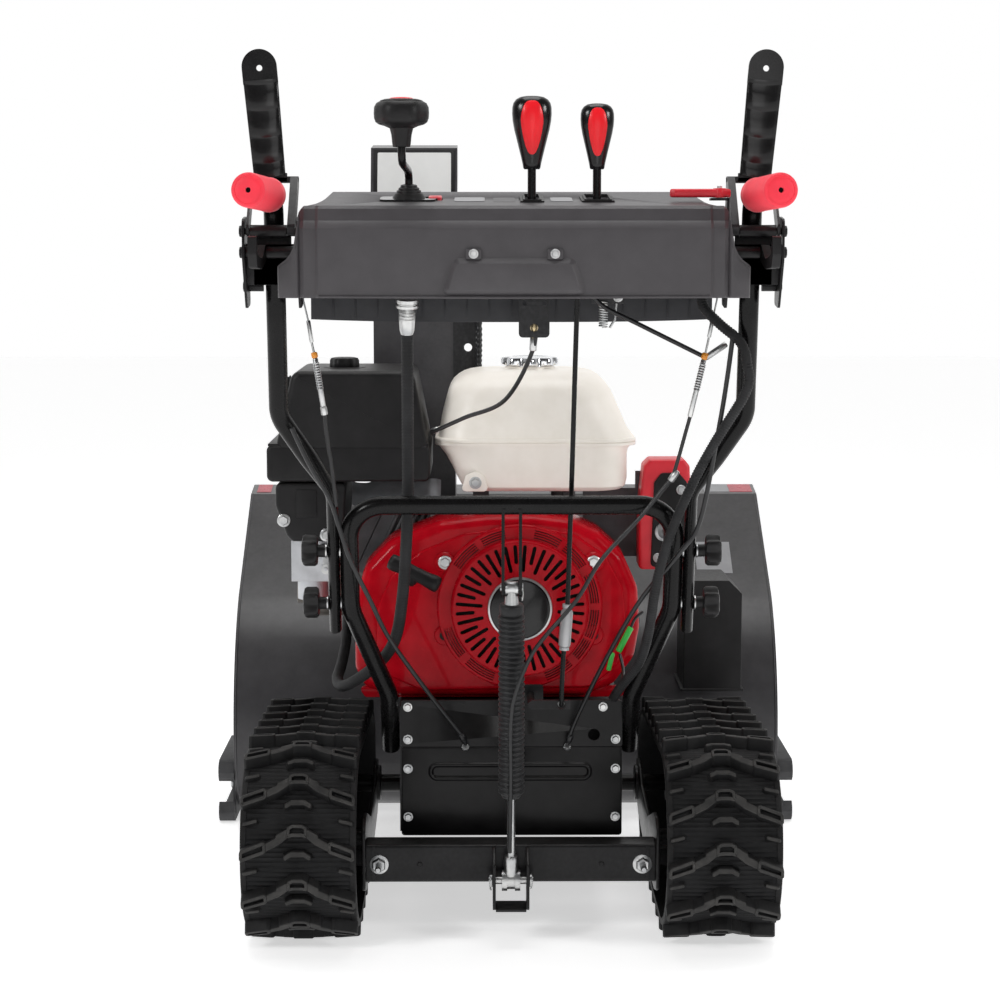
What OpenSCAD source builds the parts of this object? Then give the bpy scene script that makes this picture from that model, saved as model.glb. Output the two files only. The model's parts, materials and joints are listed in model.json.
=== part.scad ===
// Tracked two-stage snow blower. Millimetres, +Z up, +Y towards the auger, +X to the operator's right.
// Construction coordinates have Y = 0 at the rear idler axle; place() moves the origin to the middle of the footprint.

/* [Bucket] */
// Overall width of the auger housing over its side plates
bucket_w = 860; // [840:2:864]
// Sheet thickness of the auger housing
sheet_t = 3; // [2:0.5:3]
// Outside diameter of the auger flights
auger_d = 340; // [320:2:344]
// Outside diameter of the impeller blades
impeller_d = 300; // [270:2:304]

/* [Tracks] */
// Width of each rubber track
track_w = 148; // [136:2:150]
// Distance between the two track centre lines
track_gauge = 544; // [544:2:552]
// Height of the track lugs above the belt
lug_h = 16; // [16:1:16]

/* [Handlebars] */
// Outside diameter of the handlebar tube
tube_d = 24; // [22:1:24]
// Outside diameter of the hand grips
grip_d = 40; // [36:1:40]

/* [Engine] */
// Outside diameter of the recoil starter cover
recoil_d = 222; // [210:2:226]
// Depth of the fan cover along the crankshaft
fan_depth = 95; // [80:1:96]

/* [Chute] */
// Inside width of the chute channel
chute_w = 116; // [100:2:118]

/* [Dashboard] */
// Wall thickness of the plastic dashboard
dash_t = 4; // [3:0.5:5]

/* [Hidden] */
y_mid = 325;
$fn = 48;
// principal axes: [y, z] for axes along X, [x, z] for axes along Y
axle = [317.5, 126];
idler = [0, 134];
R1 = 113;  R2 = 105;               // pitch radii of idler and sprocket
crank = [13, 431];
imp = [-20, 228];
aug = [765, 190];
neck = [-138, 505];                // chute axis, [x, y]
hw = bucket_w/2;
paddle_piv = [-216, 930];
trig_piv = [-216, 905];
strut_top = [-92, 481];
strut_pin = [-45, 86];
defl_piv = [456, 972];

// ---------- helpers ----------
function unit(v) = v/norm(v);
function arc(c,r,a0,a1,n) = [for(i=[0:n]) let(a=a0+(a1-a0)*i/n) [c[0]+r*cos(a), c[1]+r*sin(a)]];
function rrect(x0,y0,x1,y1,r,n=4) = concat(arc([x1-r,y0+r],r,-90,0,n), arc([x1-r,y1-r],r,0,90,n), arc([x0+r,y1-r],r,90,180,n), arc([x0+r,y0+r],r,180,270,n));
function shrink(P,c,k) = [for(p=P) c+(p-c)*k];
function tang(P) = [for(i=[0:len(P)-1]) unit(P[min(i+1,len(P)-1)]-P[max(i-1,0)])];
function nrm(T,n0) = [for(i=0, n=unit(n0-(n0*T[0])*T[0]); i<len(T); i=i+1, n = i<len(T) ? unit(n-(n*T[i])*T[i]) : n) n];
function cr(a,b,c,d,t) = 0.5*(2*b+(c-a)*t+(2*a-5*b+4*c-d)*t*t+(3*b-a-3*c+d)*t*t*t);
function smooth(P,k=4) = concat([for(i=[0:len(P)-2]) for(j=[0:k-1]) cr(P[max(i-1,0)],P[i],P[i+1],P[min(i+2,len(P)-1)],j/k)],[P[len(P)-1]]);
function bend3(A,B,C,R,n) = let(u=unit(A-B), w=unit(C-B), ang=acos(u*w), t=R/tan(ang/2), c=B+unit(u+w)*R/sin(ang/2),
   a=unit(B+u*t-c), b=unit(B+w*t-c), om=acos(a*b)) [for(i=[0:n]) c+R*(sin(om*(1-i/n))*a+sin(om*i/n)*b)/sin(om)];
function bends(P,R,n=5) = concat([P[0]],[for(i=[1:len(P)-2]) each bend3(P[i-1],P[i],P[i+1],R[i-1],n)],[P[len(P)-1]]);
module sweep(P,ra,rb=undef,s=12,n0=[1,0,0]) {
  T=tang(P); N=nrm(T,n0); m=len(P); q = rb==undef ? ra : rb;
  pts=[for(i=[0:m-1]) let(B=cross(T[i],N[i]), a=is_list(ra)?ra[i]:ra, b=is_list(q)?q[i]:q)
        for(k=[0:s-1]) P[i]+a*cos(360*k/s)*N[i]+b*sin(360*k/s)*B];
  polyhedron(pts, concat([[for(k=[0:s-1]) k]],
     [for(i=[0:m-2]) for(k=[0:s-1]) each [[i*s+k,(i+1)*s+k,(i+1)*s+(k+1)%s],[i*s+k,(i+1)*s+(k+1)%s,i*s+(k+1)%s]]],
     [[for(k=[s-1:-1:0]) (m-1)*s+k]]));
}
module alongX(x0,x1) translate([x0,0,0]) rotate([90,0,90]) linear_extrude(x1-x0) children();
module alongY(y0,y1) translate([0,y1,0]) rotate([90,0,0]) linear_extrude(y1-y0) children();
module cylX(x0,x1,y,z,r) translate([x0,y,z]) rotate([0,90,0]) cylinder(h=x1-x0,r=r);
module cylY(y0,y1,x,z,r) translate([x,y0,z]) rotate([-90,0,0]) cylinder(h=y1-y0,r=r);
module box(a,b) translate(a) cube(b-a);
module both() { children(); mirror([1,0,0]) children(); }
module rod(p,q,r) { d=q-p; L=norm(d); translate(p) rotate([0,acos(d[2]/L),atan2(d[1],d[0])]) cylinder(h=L,r=r); }
module place() translate([0,-y_mid,0]) children();
function dash_z(y) = 958+(y+290)*22/205;

// ---------- auger housing ----------
function bucket_profile(t) = concat([[925,500-t],[868+t*0.4,490-t]], arc([846,130],290-t,131,180,10), arc([656,110],100-t,180,270,8), [[905,10+t]]);
module auger_housing() color("#2b2b2e") difference() {
  union() {
    alongX(-hw+sheet_t,hw-sheet_t) polygon(concat(bucket_profile(0), [for(i=[21:-1:0]) bucket_profile(sheet_t)[i]]));
    both() alongX(hw-sheet_t,hw) difference() {
      polygon(concat([[925,500],[868,490]], arc([846,130],290,131,180,10), arc([656,110],100,180,270,8), [[905,10],[955,14],[985,120],[978,300],[962,440]]));
      translate([aug[0],aug[1]]) circle(r=14);
    }
  }
  cylY(450,760,imp[0],imp[1],157);
}
module impeller_housing() color("#2b2b2e") difference() {
  union() {
    cylY(440,700,imp[0],imp[1],160);
    translate([neck[0],neck[1],300]) cylinder(h=120,r=71);
    translate([neck[0],neck[1],420]) cylinder(h=5.5,r=84);
  }
  cylY(443,701,imp[0],imp[1],157);
  cylY(430,450,imp[0],imp[1],24);
  translate([neck[0],neck[1],303]) cylinder(h=130,r=68);
  alongX(-300,300) polygon(concat(bucket_profile(0), [[1100,10],[1100,500]]));
}
module scraper_bar() color("#55565a") alongX(-hw+4,hw-4) polygon([[850,2],[912,2],[912,9.7],[850,9.7]]);
module shoe_flange() alongX(hw+0.3,hw+25) polygon(concat([[575,0],[745,0]], arc([745,18],18,-90,60,5), [[748,24],[745,10],[575,10],[572,24]], arc([575,18],18,120,270,5)));
module skid_shoes() color("#202022") both() difference() {
  union() {
    shoe_flange();
    translate([0,0,100]) mirror([0,0,1]) shoe_flange();
    alongX(hw+0.3,hw+5) polygon([[585,5],[735,5],[735,95],[585,95]]);
  }
  for(y=[620,700]) cylX(hw-1,hw+6,y,50,6);
}

// ---------- tractor ----------
module tractor_frame() color("#232326") difference() {
  union() {
    both() alongX(145,148) polygon([[40,129],[230,129],[262,88],[372,88],[400,129],[440,129],[440,300],[40,300]]);
    box([-145,40,297],[145,345,300]);
    box([-145,40,129],[145,168,132]);
    box([-145,437,129],[145,439.7,299]);
  }
  cylX(-200,200,axle[0],axle[1],25);
  cylY(430,445,imp[0],imp[1],24);
}
module rear_cover_upper() color("#2a2a2d") difference() {
  union() { box([-146,36,246],[148,39.7,309]); box([12,36,301],[44,41,330]); }
  cylY(30,45,27,315,5.06);
  cylY(30,45,112,262,8);
}
module rear_cover_lower() color("#2a2a2d") difference() {
  union() { box([-146,36,124],[148,39.7,245.5]); alongY(32,36) polygon(rrect(-108,201,108,223,10)); }
}
module belt_cover() color("#232326") difference() {
  alongY(346.5,415) polygon(concat(arc(crank,82,20,160,10), [[-100,370],[-114,305.5],[82,305.5],[98,370]]));
  alongY(345,411) polygon(concat(arc(crank,78,18,162,10), [[-96,368],[-110,300],[78,300],[94,368]]));
}
module battery_box() color("#242427") union() {
  difference() {
    alongY(452,568) polygon([[270,238],[358,238],[358,385],[338,405],[270,405]]);
    alongY(456,564) polygon([[274,242],[354,242],[354,383],[336,401],[274,401]]);
  }
  box([266,450,234],[362,575.6,238]);
  alongY(456.5,563.5) polygon([[276,242.3],[352,242.3],[352,360],[276,360]]);
}
module transmission() color("#7d7f84") difference() {
  union() {
    alongX(-60,60) polygon(rrect(172,90,360,280,22));
    cylX(-90,90,axle[0],axle[1],28);
  }
  cylX(-100,100,axle[0],axle[1],12.56);
}
module bearings() color("#8d9094") {
  both() difference() { cylX(140,158,axle[0],axle[1],24.8); cylX(130,170,axle[0],axle[1],12.56); }
  difference() { cylY(432,448,imp[0],imp[1],23.8); cylY(430,450,imp[0],imp[1],9.56); }
  both() difference() { union(){ cylX(hw-8,hw-0.2,aug[0],aug[1],13.8); cylX(hw+0.2,hw+5,aug[0],aug[1],30); cylX(hw-1,hw+1,aug[0],aug[1],13.8);} cylX(hw-10,hw+10,aug[0],aug[1],9.56); }
}

// ---------- engine ----------
fan_outline = [[-150,306],[-196,318],[-209,345],[-209,430],[-196,482],[-160,520],[-95,545],[-30,553],[30,554],[80,548],[120,530],[152,500],[172,455],[175,400],[168,360],[140,322],[100,306]];
module engine_block() color("#b9bcc0") difference() {
  union() {
    box([-90,166,300.3],[112,330,330]);
    box([-78,166,330],[104,330,520]);
    translate([crank[0]-40,175,crank[1]]) rotate([0,-65,0]) translate([-62,0,0]) cube([124,140,120]);
    cylY(330,346,crank[0],crank[1],50);
    for(x=[-50,70]) for(y=[190,290]) box([x,y,519],[x+22,y+22,577.7]);
    box([103,196.3,480],[240,200,576]); box([176,196.3,570],[240,200,600]);
  }
  box([-70,174,338],[96,322,512]);
  cylY(160,350,crank[0],crank[1],12.56);
}
module cylinder_head() color("#a9acb1") translate([crank[0]-40,175,crank[1]]) rotate([0,-65,0]) {
  for(i=[0:5]) translate([-66,-2,120.3+i*8]) cube([132,144,4]);
  difference() { translate([-50,8,120.3]) cube([100,124,62]); translate([10,40,150]) cube([60,44,40]); }
  translate([-54,12,182.5]) cube([108,116,26]);
}
module fan_cover() color("#b3121c") difference() {
  alongY(70,70+fan_depth) polygon(fan_outline);
  alongY(74,71+fan_depth) polygon(shrink(fan_outline,[0,430],0.955));
  cylY(60,80,crank[0],crank[1],recoil_d/2-16);
}
module recoil_starter() color("#c01420") difference() {
  union() {
    cylY(58,69.7,crank[0],crank[1],recoil_d/2);
    translate([crank[0],58,crank[1]]) rotate([90,0,0]) cylinder(h=14,r1=recoil_d/2-6,r2=recoil_d/2-18);
    cylY(40,48,crank[0],crank[1],40);
  }
  cylY(47,70,crank[0],crank[1],recoil_d/2-22);
  for(i=[0:35]) translate([crank[0],0,crank[1]]) rotate([0,i*10,0]) translate([46,38,-2.2]) cube([38,12,4.4]);
  translate([crank[0],0,crank[1]]) rotate([0,24,0]) box([-90,46,-9],[-118,75,9]);
  translate([crank[0],64,crank[1]]) rotate([0,-155,0]) translate([75,-9,-8]) cube([50,18,16]);
}
tank_o = [[-102,641],[-102,650],[-91,690],[-80,720],[-66,736],[-50,740],[118,740],[130,733],[140,715],[158,675],[174,650],[174,641],[162,634],[162,578],[-66,578],[-74,602],[-89,630]];
module fuel_tank() color("#efece0") difference() {
  union() {
    intersection() { alongY(120,370) polygon(tank_o); translate([0,0,570]) linear_extrude(180) polygon(rrect(-102,120,174,370,44)); }
    translate([30,245,738]) cylinder(h=6,r=34);
  }
  intersection() { alongY(124,366) polygon(shrink(tank_o,[36,658],0.95)); translate([0,0,570]) linear_extrude(180) polygon(rrect(-97,125,169,365,40)); }
  translate([30,245,700]) cylinder(h=60,r=27);
}
air_o = [[-318,643],[-294,738],[-286,744],[-137,744],[-129,738],[-108,643],[-108,592],[-222,592],[-226,512],[-300,512],[-318,560],[-318,592],[-329,594],[-329,643]];
module air_cleaner() color("#26262a") union() {
  difference() {
    intersection() { alongY(112,306) polygon(air_o); translate([0,0,500]) linear_extrude(250) polygon(rrect(-329,112,-108,306,26)); }
    intersection() { alongY(116,302) polygon(shrink(air_o,[-218,650],0.95)); translate([0,0,500]) linear_extrude(250) polygon(rrect(-325,116,-112,302,23)); }
  }
  translate([-228,205,744]) cylinder(h=10,r=4);
  difference() { translate([-228,205,746]) cylinder(h=12,r=26); for(i=[0:5]) rotate([0,0,0]) translate([-228+29*cos(i*60),205+29*sin(i*60),740]) cylinder(h=30,r=7); }
}
module carburettor() color("#b8b2a4") union() {
  box([-300,150,452],[-247,215,508]);
  cylY(140.3,151,-252,470,2.54);
  translate([-270,182,424]) cylinder(h=28,r=24);
  box([-282,215,460],[-262,232,500]);
}
module choke_lever() color("#9a9da1") difference() {
  union() { translate([-252,143,470]) rotate([-90,0,0]) cylinder(h=6.5,r=7); box([-256,144,476],[-248,149,499]); box([-260,136,497],[-244,149,504]); }
  cylY(140,152,-252,470,2.6);
}
module muffler() color("#6f7175") difference() {
  union() { alongX(-296,-176) polygon(rrect(322,372,412,488,16)); cylX(-176,-160,360,420,16); cylX(-310,-296,370,400,14); }
  alongX(-292,-180) polygon(rrect(326,376,408,484,12));
  cylX(-320,-290,370,400,11); cylX(-182,-150,360,420,12);
}
module control_box() color("#a8131c") difference() {
  alongY(138,196) polygon([[178,556],[186,621],[247,621],[250,540],[248,469],[178,469]]);
  alongY(142,200) polygon([[182,555],[189,617],[243,617],[246,540],[244,473],[182,473]]);
  cylY(130,150,212,522,8.06);
}
module ignition_key() color("#2a2a2c") union() { cylY(124,146,212,522,8); box([210,104,508],[214,124,536]); }
module starter_motor() color("#4a4c50") union() { cylY(178,312,150,392,32); box([112.3,190,372],[125,300,412]); }
module crankshaft() color("#8b8e92") union() {
  cylY(86,400,crank[0],crank[1],12.5);
  cylY(92,104,crank[0],crank[1],104);
  for(i=[0:11]) translate([crank[0],78,crank[1]]) rotate([0,i*30,0]) translate([60,0,-1.5]) cube([40,15,3]);
  difference() { cylY(372,392,crank[0],crank[1],46); rotate([0,0,0]) translate([crank[0],382,crank[1]]) rotate([90,0,0]) rotate_extrude($fn=48) polygon([[38,0],[50,7],[50,-7]]); }
}
module recoil_handle() color("#1e1e20") union() {
  rod([-160,34,498],[-94,22,466],11);
  rod([-127,28,482],[-108,44,476],5);
}
module fuel_cap() color("#c9cacb") difference() {
  union() { translate([30,245,744.3]) cylinder(h=13,r=36); for(i=[0:7]) translate([30+36*cos(i*45),245+36*sin(i*45),744.3]) cylinder(h=13,r=6); translate([30,245,730]) cylinder(h=15,r=24); }
  translate([30,245,729]) cylinder(h=12,r=20);
}

// ---------- handlebars ----------
low_path = bends([[-161,70,238],[-161,16,322],[-206,-62,450],[-206,-100,588],[206,-100,588],[206,-62,450],[161,16,322],[161,70,238]],[60,60,45,45,60,60],5);
module lower_handlebar() color("#1d1d20") union() {
  sweep(low_path,tube_d/2,tube_d/2,12);
  both() difference() { alongX(9,13) polygon(concat([[-108,583],[-100,470.5]],[[-84,470.5],[-92,583]])); cylX(0,20,strut_top[0],strut_top[1],4.08); }
}
up_raw = bends([[-226,-54,422],[-226,-104,606],[-289,-130,703],[-287,-166,815],[-287,-192,972],[-301.5,-332,976]],[40,45,200,27],5);
function up_w(z,y) = (z<600 ? 7.7 : (z>650 ? tube_d/2 : 7.7+(tube_d/2-7.7)*(z-600)/50));
function up_d(z,y) = (z<600 ? 14.5 : (z>650 ? tube_d/2 : 14.5+(tube_d/2-14.5)*(z-600)/50));
module upper_handlebars() color("#1d1d20") both() sweep(up_raw,[for(p=up_raw) up_w(p[2],p[1])],[for(p=up_raw) up_d(p[2],p[1])],12);
gA = [-287,-192,972]; gE = [-301.5,-332,976]; gU = (gE-gA)/norm(gE-gA);
module hand_grips() color("#e01f2d") both() difference() {
  union() { rod(gA+gU*30,gE+gU*4,grip_d/2); rod(gA+gU*27,gA+gU*31,grip_d/2+0.8); }
  rod(gA+gU*23,gE+gU*0.3,tube_d/2+0.1);
  rod(gE-gU*5,gE+gU*9,3);
}
module lever_brackets() color("#1b1b1d") {
  both() {
    difference() { alongX(-321,-318) polygon([[-232,944],[-200,948],[-172,880],[-168,842],[-200,838],[-232,896]]); }
    alongX(-257,-254) polygon([[-232,944],[-200,948],[-172,880],[-168,842],[-200,838],[-232,896]]);
    cylX(-324,-254,paddle_piv[0],paddle_piv[1],4);
    cylX(-324,-254,trig_piv[0],trig_piv[1],4);
    cylX(-318,-301,-178,864,6); cylX(-274,-257,-178,864,6);
  }
  both() { box([-318.5,-203,866],[-256.5,-200,915]); box([-310,-203,866],[-265,-200,925]); }
  box([232,-242,966],[254,-222,969]); translate([243,-232,966]) cylinder(h=17,r=3);
  box([251,-242,940],[254,-222,969]);
}
module clamp_knobs() color("#1c1c1e") {
  for(m=[0,1]) mirror([m,0,0]) for(p=[[-66,458],[-85,528]]) {
    rod([-234,p[0],p[1]],[-246,p[0],p[1]],8);
    difference() { cylX(-266,-246,p[0],p[1],19); for(i=[0:4]) cylX(-270,-240,p[0]+20.5*cos(i*72+18),p[1]+20.5*sin(i*72+18),7.5); }
  }
}
module paddle() union() {
  difference() {
    union() {
      alongX(-316.5,-313.5) polygon([[-222,924],[-209,924],[-154,984],[-154,996],[-170,996],[-226,936]]);
      alongX(-262,-259) polygon([[-222,924],[-209,924],[-154,984],[-154,996],[-170,996],[-226,936]]);
      box([-316.5,-170,988],[-259,-154,996]);
      box([-312,-170,988],[-272,-166,1000]);
    }
    cylX(-330,-250,paddle_piv[0],paddle_piv[1],4.06);
  }
  translate([-293,-166,996]) rotate([2.5,-4.6,0]) {
    alongY(-4,0) union() { polygon(concat([[-20,0],[20,0]],arc([0,130],21,0,180,10))); }
    for(i=[0:3]) alongY(-8,-4) polygon([[-19,18+i*27],[0,6+i*27],[19,18+i*27],[19,23+i*27],[0,12+i*27],[-19,23+i*27]]);
  }
}
module paddle_left() color("#17181b") paddle();
module paddle_right() color("#17181b") mirror([1,0,0]) paddle();
module trigger() difference() {
  union() {
    alongX(-308,-290) polygon([[-211,914],[-208,898],[-222,894],[-262,886],[-320,888],[-331,903],[-330,923],[-323,925],[-317,905],[-300,901],[-262,898],[-224,914]]);
  }
  cylX(-330,-250,trig_piv[0],trig_piv[1],4.06);
}
module trigger_left() color("#151518") trigger();
module trigger_right() color("#151518") mirror([1,0,0]) trigger();
module tilt_lever() color("#c8192a") difference() {
  union() { translate([243,-232,969.4]) cylinder(h=11,r=8); box([190,-238,969.4],[256,-226,980]); translate([190,-232,969.4]) cylinder(h=10.6,r=6); }
  translate([243,-232,960]) cylinder(h=40,r=3.06);
}

// ---------- dashboard ----------
dash_side = [[-300,853],[-304,937],[-290,958],[-88,980],[-80,968],[-78,853]];
dash_rear = [[-274,853],[-274,890],[-268,894],[-255,911],[-250,950],[-239,962],[-213,990],[213,990],[239,962],[250,950],[255,911],[268,894],[274,890],[274,853]];
dash_plan = [[-274,-310],[-274,-248],[-250,-238],[-250,-150],[-262,-138],[-262,-70],[262,-70],[262,-138],[250,-150],[250,-238],[274,-248],[274,-310]];
module dashboard() color("#34363a") union() {
  difference() {
    intersection() { alongX(-280,280) polygon(dash_side); alongY(-320,-60) polygon(dash_rear); translate([0,0,840]) linear_extrude(160) polygon(dash_plan); }
    intersection() { alongX(-280,280) polygon([[-296,850],[-300,936],[-287,954],[-89,975.7],[-84,966],[-82,850]]);
      alongY(-320,-60) polygon([[-270,850],[-270,888],[-264,892],[-251,911],[-246,948],[-236,958],[-211,986],[211,986],[236,958],[246,948],[251,911],[264,892],[270,888],[270,850]]);
      translate([0,0,840]) linear_extrude(160) polygon([[-270,-310],[-270,-250],[-246,-241],[-246,-147],[-258,-136],[-258,-60],[258,-60],[258,-136],[246,-147],[246,-241],[270,-250],[270,-310]]); }
    box([14,-244,940],[30,-174,990]);
    box([86,-242,940],[113,-176,990]);
    translate([-124,-210,930]) cylinder(h=70,r=8);
    box([-102,-216,950],[-84,-186,990]);
  }
  both() box([244,-236,916],[253.8,-224,930]);
  difference() { box([10,-216,880],[16,-204,958]); cylX(5,120,-210,900,4.06); }
  difference() { box([114,-216,880],[120,-204,958]); cylX(5,125,-210,900,4.06); }
}
module dash_skirt() color("#1c1c1f") alongY(-77.7,-74) polygon([[-252,820],[-240,816],[240,816],[252,820],[252,905],[-252,905]]);
module dash_trim() color("#202225") {
  translate([0,-210,dash_z(-210)]) rotate([6.13,0,0]) {
    difference() { box([-158,-26,0.3],[-92,18,3]); translate([-124,0,-5]) cylinder(h=20,r=9); box([-104,-8,-1],[-82,26,9]); }
    difference() { box([8,-37,0.3],[36,39,2.5]); box([13.5,-35,-1],[30.5,37,9]); }
    difference() { box([80,-35,0.3],[119,37,2.5]); box([85.5,-33,-1],[113.5,35,9]); }
    box([-70,-24,0.3],[-34,24,1.3]); box([44,-24,0.3],[70,24,1.3]);
  }
}
module rocker_switch() color("#d01d24") translate([-93,-201,0]) translate([0,0,dash_z(-201)]) rotate([6.13,0,0]) union() { box([-8,-13,-10],[8,13,4]); cylX(-8.6,8.6,0,-4,2.2); }
module chute_crank() color("#1b1b1d") union() {
  sweep(bends([[-124,-210,905],[-124,-210,1000],[-130,-280,1009],[-130,-280,1062]],[14,14],4),4.5,4.5,10);
  translate([-130,-280,1026]) rotate_extrude($fn=40) polygon([[0,0],[9,0],[11,16],[22,24],[30,28],[31,44],[27,52],[12,56],[0,57]]);
  difference() { translate([-124,-210,895]) cylinder(h=12,r=9); }
}
module knob(x) { hull() { for(s=[-1,1]) translate([x+s*8,-210,1072]) sphere(r=14,$fn=20); translate([x,-210,1012]) sphere(r=9,$fn=18); } }
module chute_lever() color("#1b1b1d") union() {
  knob(22);
  rod([22,-210,900],[22,-210,1006],5);
  difference() { cylX(16.4,113.6,-210,900,3.9); box([30,-220,890],[120,-200,910]); }
  cylX(12,16.4,-210,900,4);
  box([17,-214,896],[27,-178,904]);
}
module speed_lever() color("#1b1b1d") union() {
  knob(99.5);
  rod([99.5,-210,900],[99.5,-210,1006],5);
  cylX(94,118,-210,900,4);
  difference() { alongX(94,102) polygon([[-214,895],[-206,893],[-165,905],[-165,914],[-176,914]]); }
  cylX(77,96,-171.2,909.8,3.5);
}
rod_path = [[82.5,-168.5,906],[81.5,-145,868],[80,-120,827],[77,-76,640],[75,-54,540],[73,-33,445],[68,-32,380],[66,-31,330],[66,-30,321],[66,-26,316],[66,-20,315],[66,-11,315]];
module speed_rod() color("#2a2a2c") union() {
  sweep(rod_path,3.2,3.2,8);
  difference() { cylX(79,86,-171.2,909.8,8); cylX(70,90,-171.2,909.8,3.56); }
  rod([73,-33,445],[69,-32,390],8);
}
module shift_arm() color("#2a2a2c") union() {
  cylY(-22,48,27,315,5);
  difference() { box([27,-22,309],[78,-17,321]); cylY(-30,-10,66,315,5.8); }
}

// ---------- strut ----------
sU = unit([0,strut_top[0]-strut_pin[0],strut_top[1]-strut_pin[1]]);
function on_strut(d) = [0,strut_pin[0],strut_pin[1]]+sU*d;
module strut_barrel() color("#1b1b1d") difference() {
  union() {
    rod(on_strut(120),on_strut(372),15);
    for(i=[0:17]) rod(on_strut(126+i*12.6),on_strut(132+i*12.6),16.5);
    rod(on_strut(370),on_strut(393),8.4);
    cylX(-8.6,8.6,strut_top[0],strut_top[1],8.5);
    cylX(-14.5,14.5,strut_top[0],strut_top[1],4);
  }
  rod(on_strut(110),on_strut(368),6.2);
}
module strut_rod() color("#c9cccf") union() {
  rod(on_strut(12),on_strut(300),5.5);
  difference() { union() { cylX(-12,12,strut_pin[0],strut_pin[1],14); rod(on_strut(8),on_strut(34),10); } cylX(-20,20,strut_pin[0],strut_pin[1],7); }
}

// ---------- chute ----------
module chute() color("#2b2b2e") translate([neck[0],neck[1],0]) {
  w=chute_w/2;
  difference() { translate([0,0,425.8]) cylinder(h=12,r=84); translate([0,0,420]) cylinder(h=30,r=66); for(i=[0:29]) rotate([0,0,i*12]) translate([84,0,420]) cylinder(h=20,r=2.6,$fn=16); }
  difference() { intersection() { translate([-w-3,-65,437.8]) cube([2*w+6,128,8]); translate([0,0,430]) cylinder(h=30,r=85.5); } translate([0,0,430]) cylinder(h=30,r=54); }
  difference() { translate([-w-3,-65,445.8]) cube([2*w+6,128,536]); translate([-w,-62,440]) cube([2*w,122,560]); translate([-w,40,560]) cube([2*w,40,500]); translate([-80,40,940]) rotate([28,0,0]) cube([160,60,90]); translate([-w,-66,960]) cube([2*w,30,40]); translate([0,-neck[1],0]) alongX(-w-4,w+4) polygon([[438,960],[448,960],[448,974],[456,979],[470,990],[438,990]]); cylX(-90,90,defl_piv[0]-neck[1],defl_piv[1],4.06); }
}
module chute_deflector() color("#2b2b2e") translate([neck[0],0,0]) { w=chute_w/2+3.6;
  union() {
    alongX(-w-2.5,w+2.5) polygon([[436.5,966],[439.4,966],[464,1052],[532,1059],[532,1062],[462,1055.2]]);
    for(s=[-1,1]) alongX(s>0?w:-w-2.5,s>0?w+2.5:-w) polygon([[436.5,966],[446,955],[470,962],[546,1018],[549,1046],[532,1062],[462,1055.2]]);
    cylX(-w-5,-w+3.4,defl_piv[0],defl_piv[1],4); cylX(w-3.4,w+5,defl_piv[0],defl_piv[1],4);
  }
}
// ---------- auger and impeller ----------
module flight(x0,x1,a0,turns,ri,ro,t=4,n=26) {
  P=[for(i=[0:n]) let(a=a0+360*turns*i/n, x=x0+(x1-x0)*i/n) for(q=[[ri,-t/2],[ro,-t/2],[ro,t/2],[ri,t/2]]) [x+q[1], aug[0]+q[0]*cos(a), aug[1]+q[0]*sin(a)]];
  F=concat(turns<0?[[0,1,2,3]]:[[3,2,1,0]], [for(i=[0:n-1]) for(k=[0:3]) let(a=4*i+k,b=4*i+(k+1)%4) each (turns<0?[[a,a+4,b+4],[a,b+4,b]]:[[a,b+4,a+4],[a,b,b+4]])], turns<0?[[4*n+3,4*n+2,4*n+1,4*n]]:[[4*n,4*n+1,4*n+2,4*n+3]]);
  polyhedron(P,F);
}
module auger() color("#b01822") union() {
  cylX(-hw-12,hw+12,aug[0],aug[1],9.5);
  for(s=[-1,1]) cylX(s>0?30:-hw+12,s>0?hw-12:-70,aug[0],aug[1],16);
  cylX(-28,-12,aug[0],aug[1],27);
  flight(34,hw-18,0,1.6,118,auger_d/2);
  flight(-74,-hw+18,0,-1.6,118,auger_d/2);
  for(s=[[48,0.04*360*1.6],[230,0.53*360*1.6],[400,0.95*360*1.6]]) translate([s[0],aug[0],aug[1]]) rotate([s[1]-2,0,0]) box([-6,12,-3],[6,126,3]);
  for(s=[[-88,-0.04*360*1.6],[-245,-0.505*360*1.6],[-400,-0.955*360*1.6]]) translate([s[0],aug[0],aug[1]]) rotate([s[1]+2,0,0]) box([-6,12,-3],[6,126,3]);
}
module auger_gearbox() color("#9b9ea2") difference() {
  union() { cylX(-52,12,aug[0],aug[1],46); cylY(696,790,imp[0],imp[1],27); cylX(-60,20,aug[0],aug[1],24); }
  cylX(-46,6,aug[0],aug[1],40); cylX(-70,30,aug[0],aug[1],9.56);
  cylY(690,740,imp[0],imp[1],9.56); cylY(716,784,imp[0],imp[1],20);
}
module impeller() color("#b01822") union() {
  cylY(366,776,imp[0],imp[1],9.5);
  cylY(462,590,imp[0],imp[1],22);
  for(i=[0:4]) translate([imp[0],0,imp[1]]) rotate([0,i*72+10,0]) box([18,468,-2],[impeller_d/2,576,2]);
  cylY(458,464,imp[0],imp[1],60);
  difference() { cylY(372,392,imp[0],imp[1],78); translate([imp[0],382,imp[1]]) rotate([90,0,0]) rotate_extrude($fn=60) polygon([[70,0],[82,7],[82,-7]]); }
  cylY(740,764,imp[0],imp[1],10);
}

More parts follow.
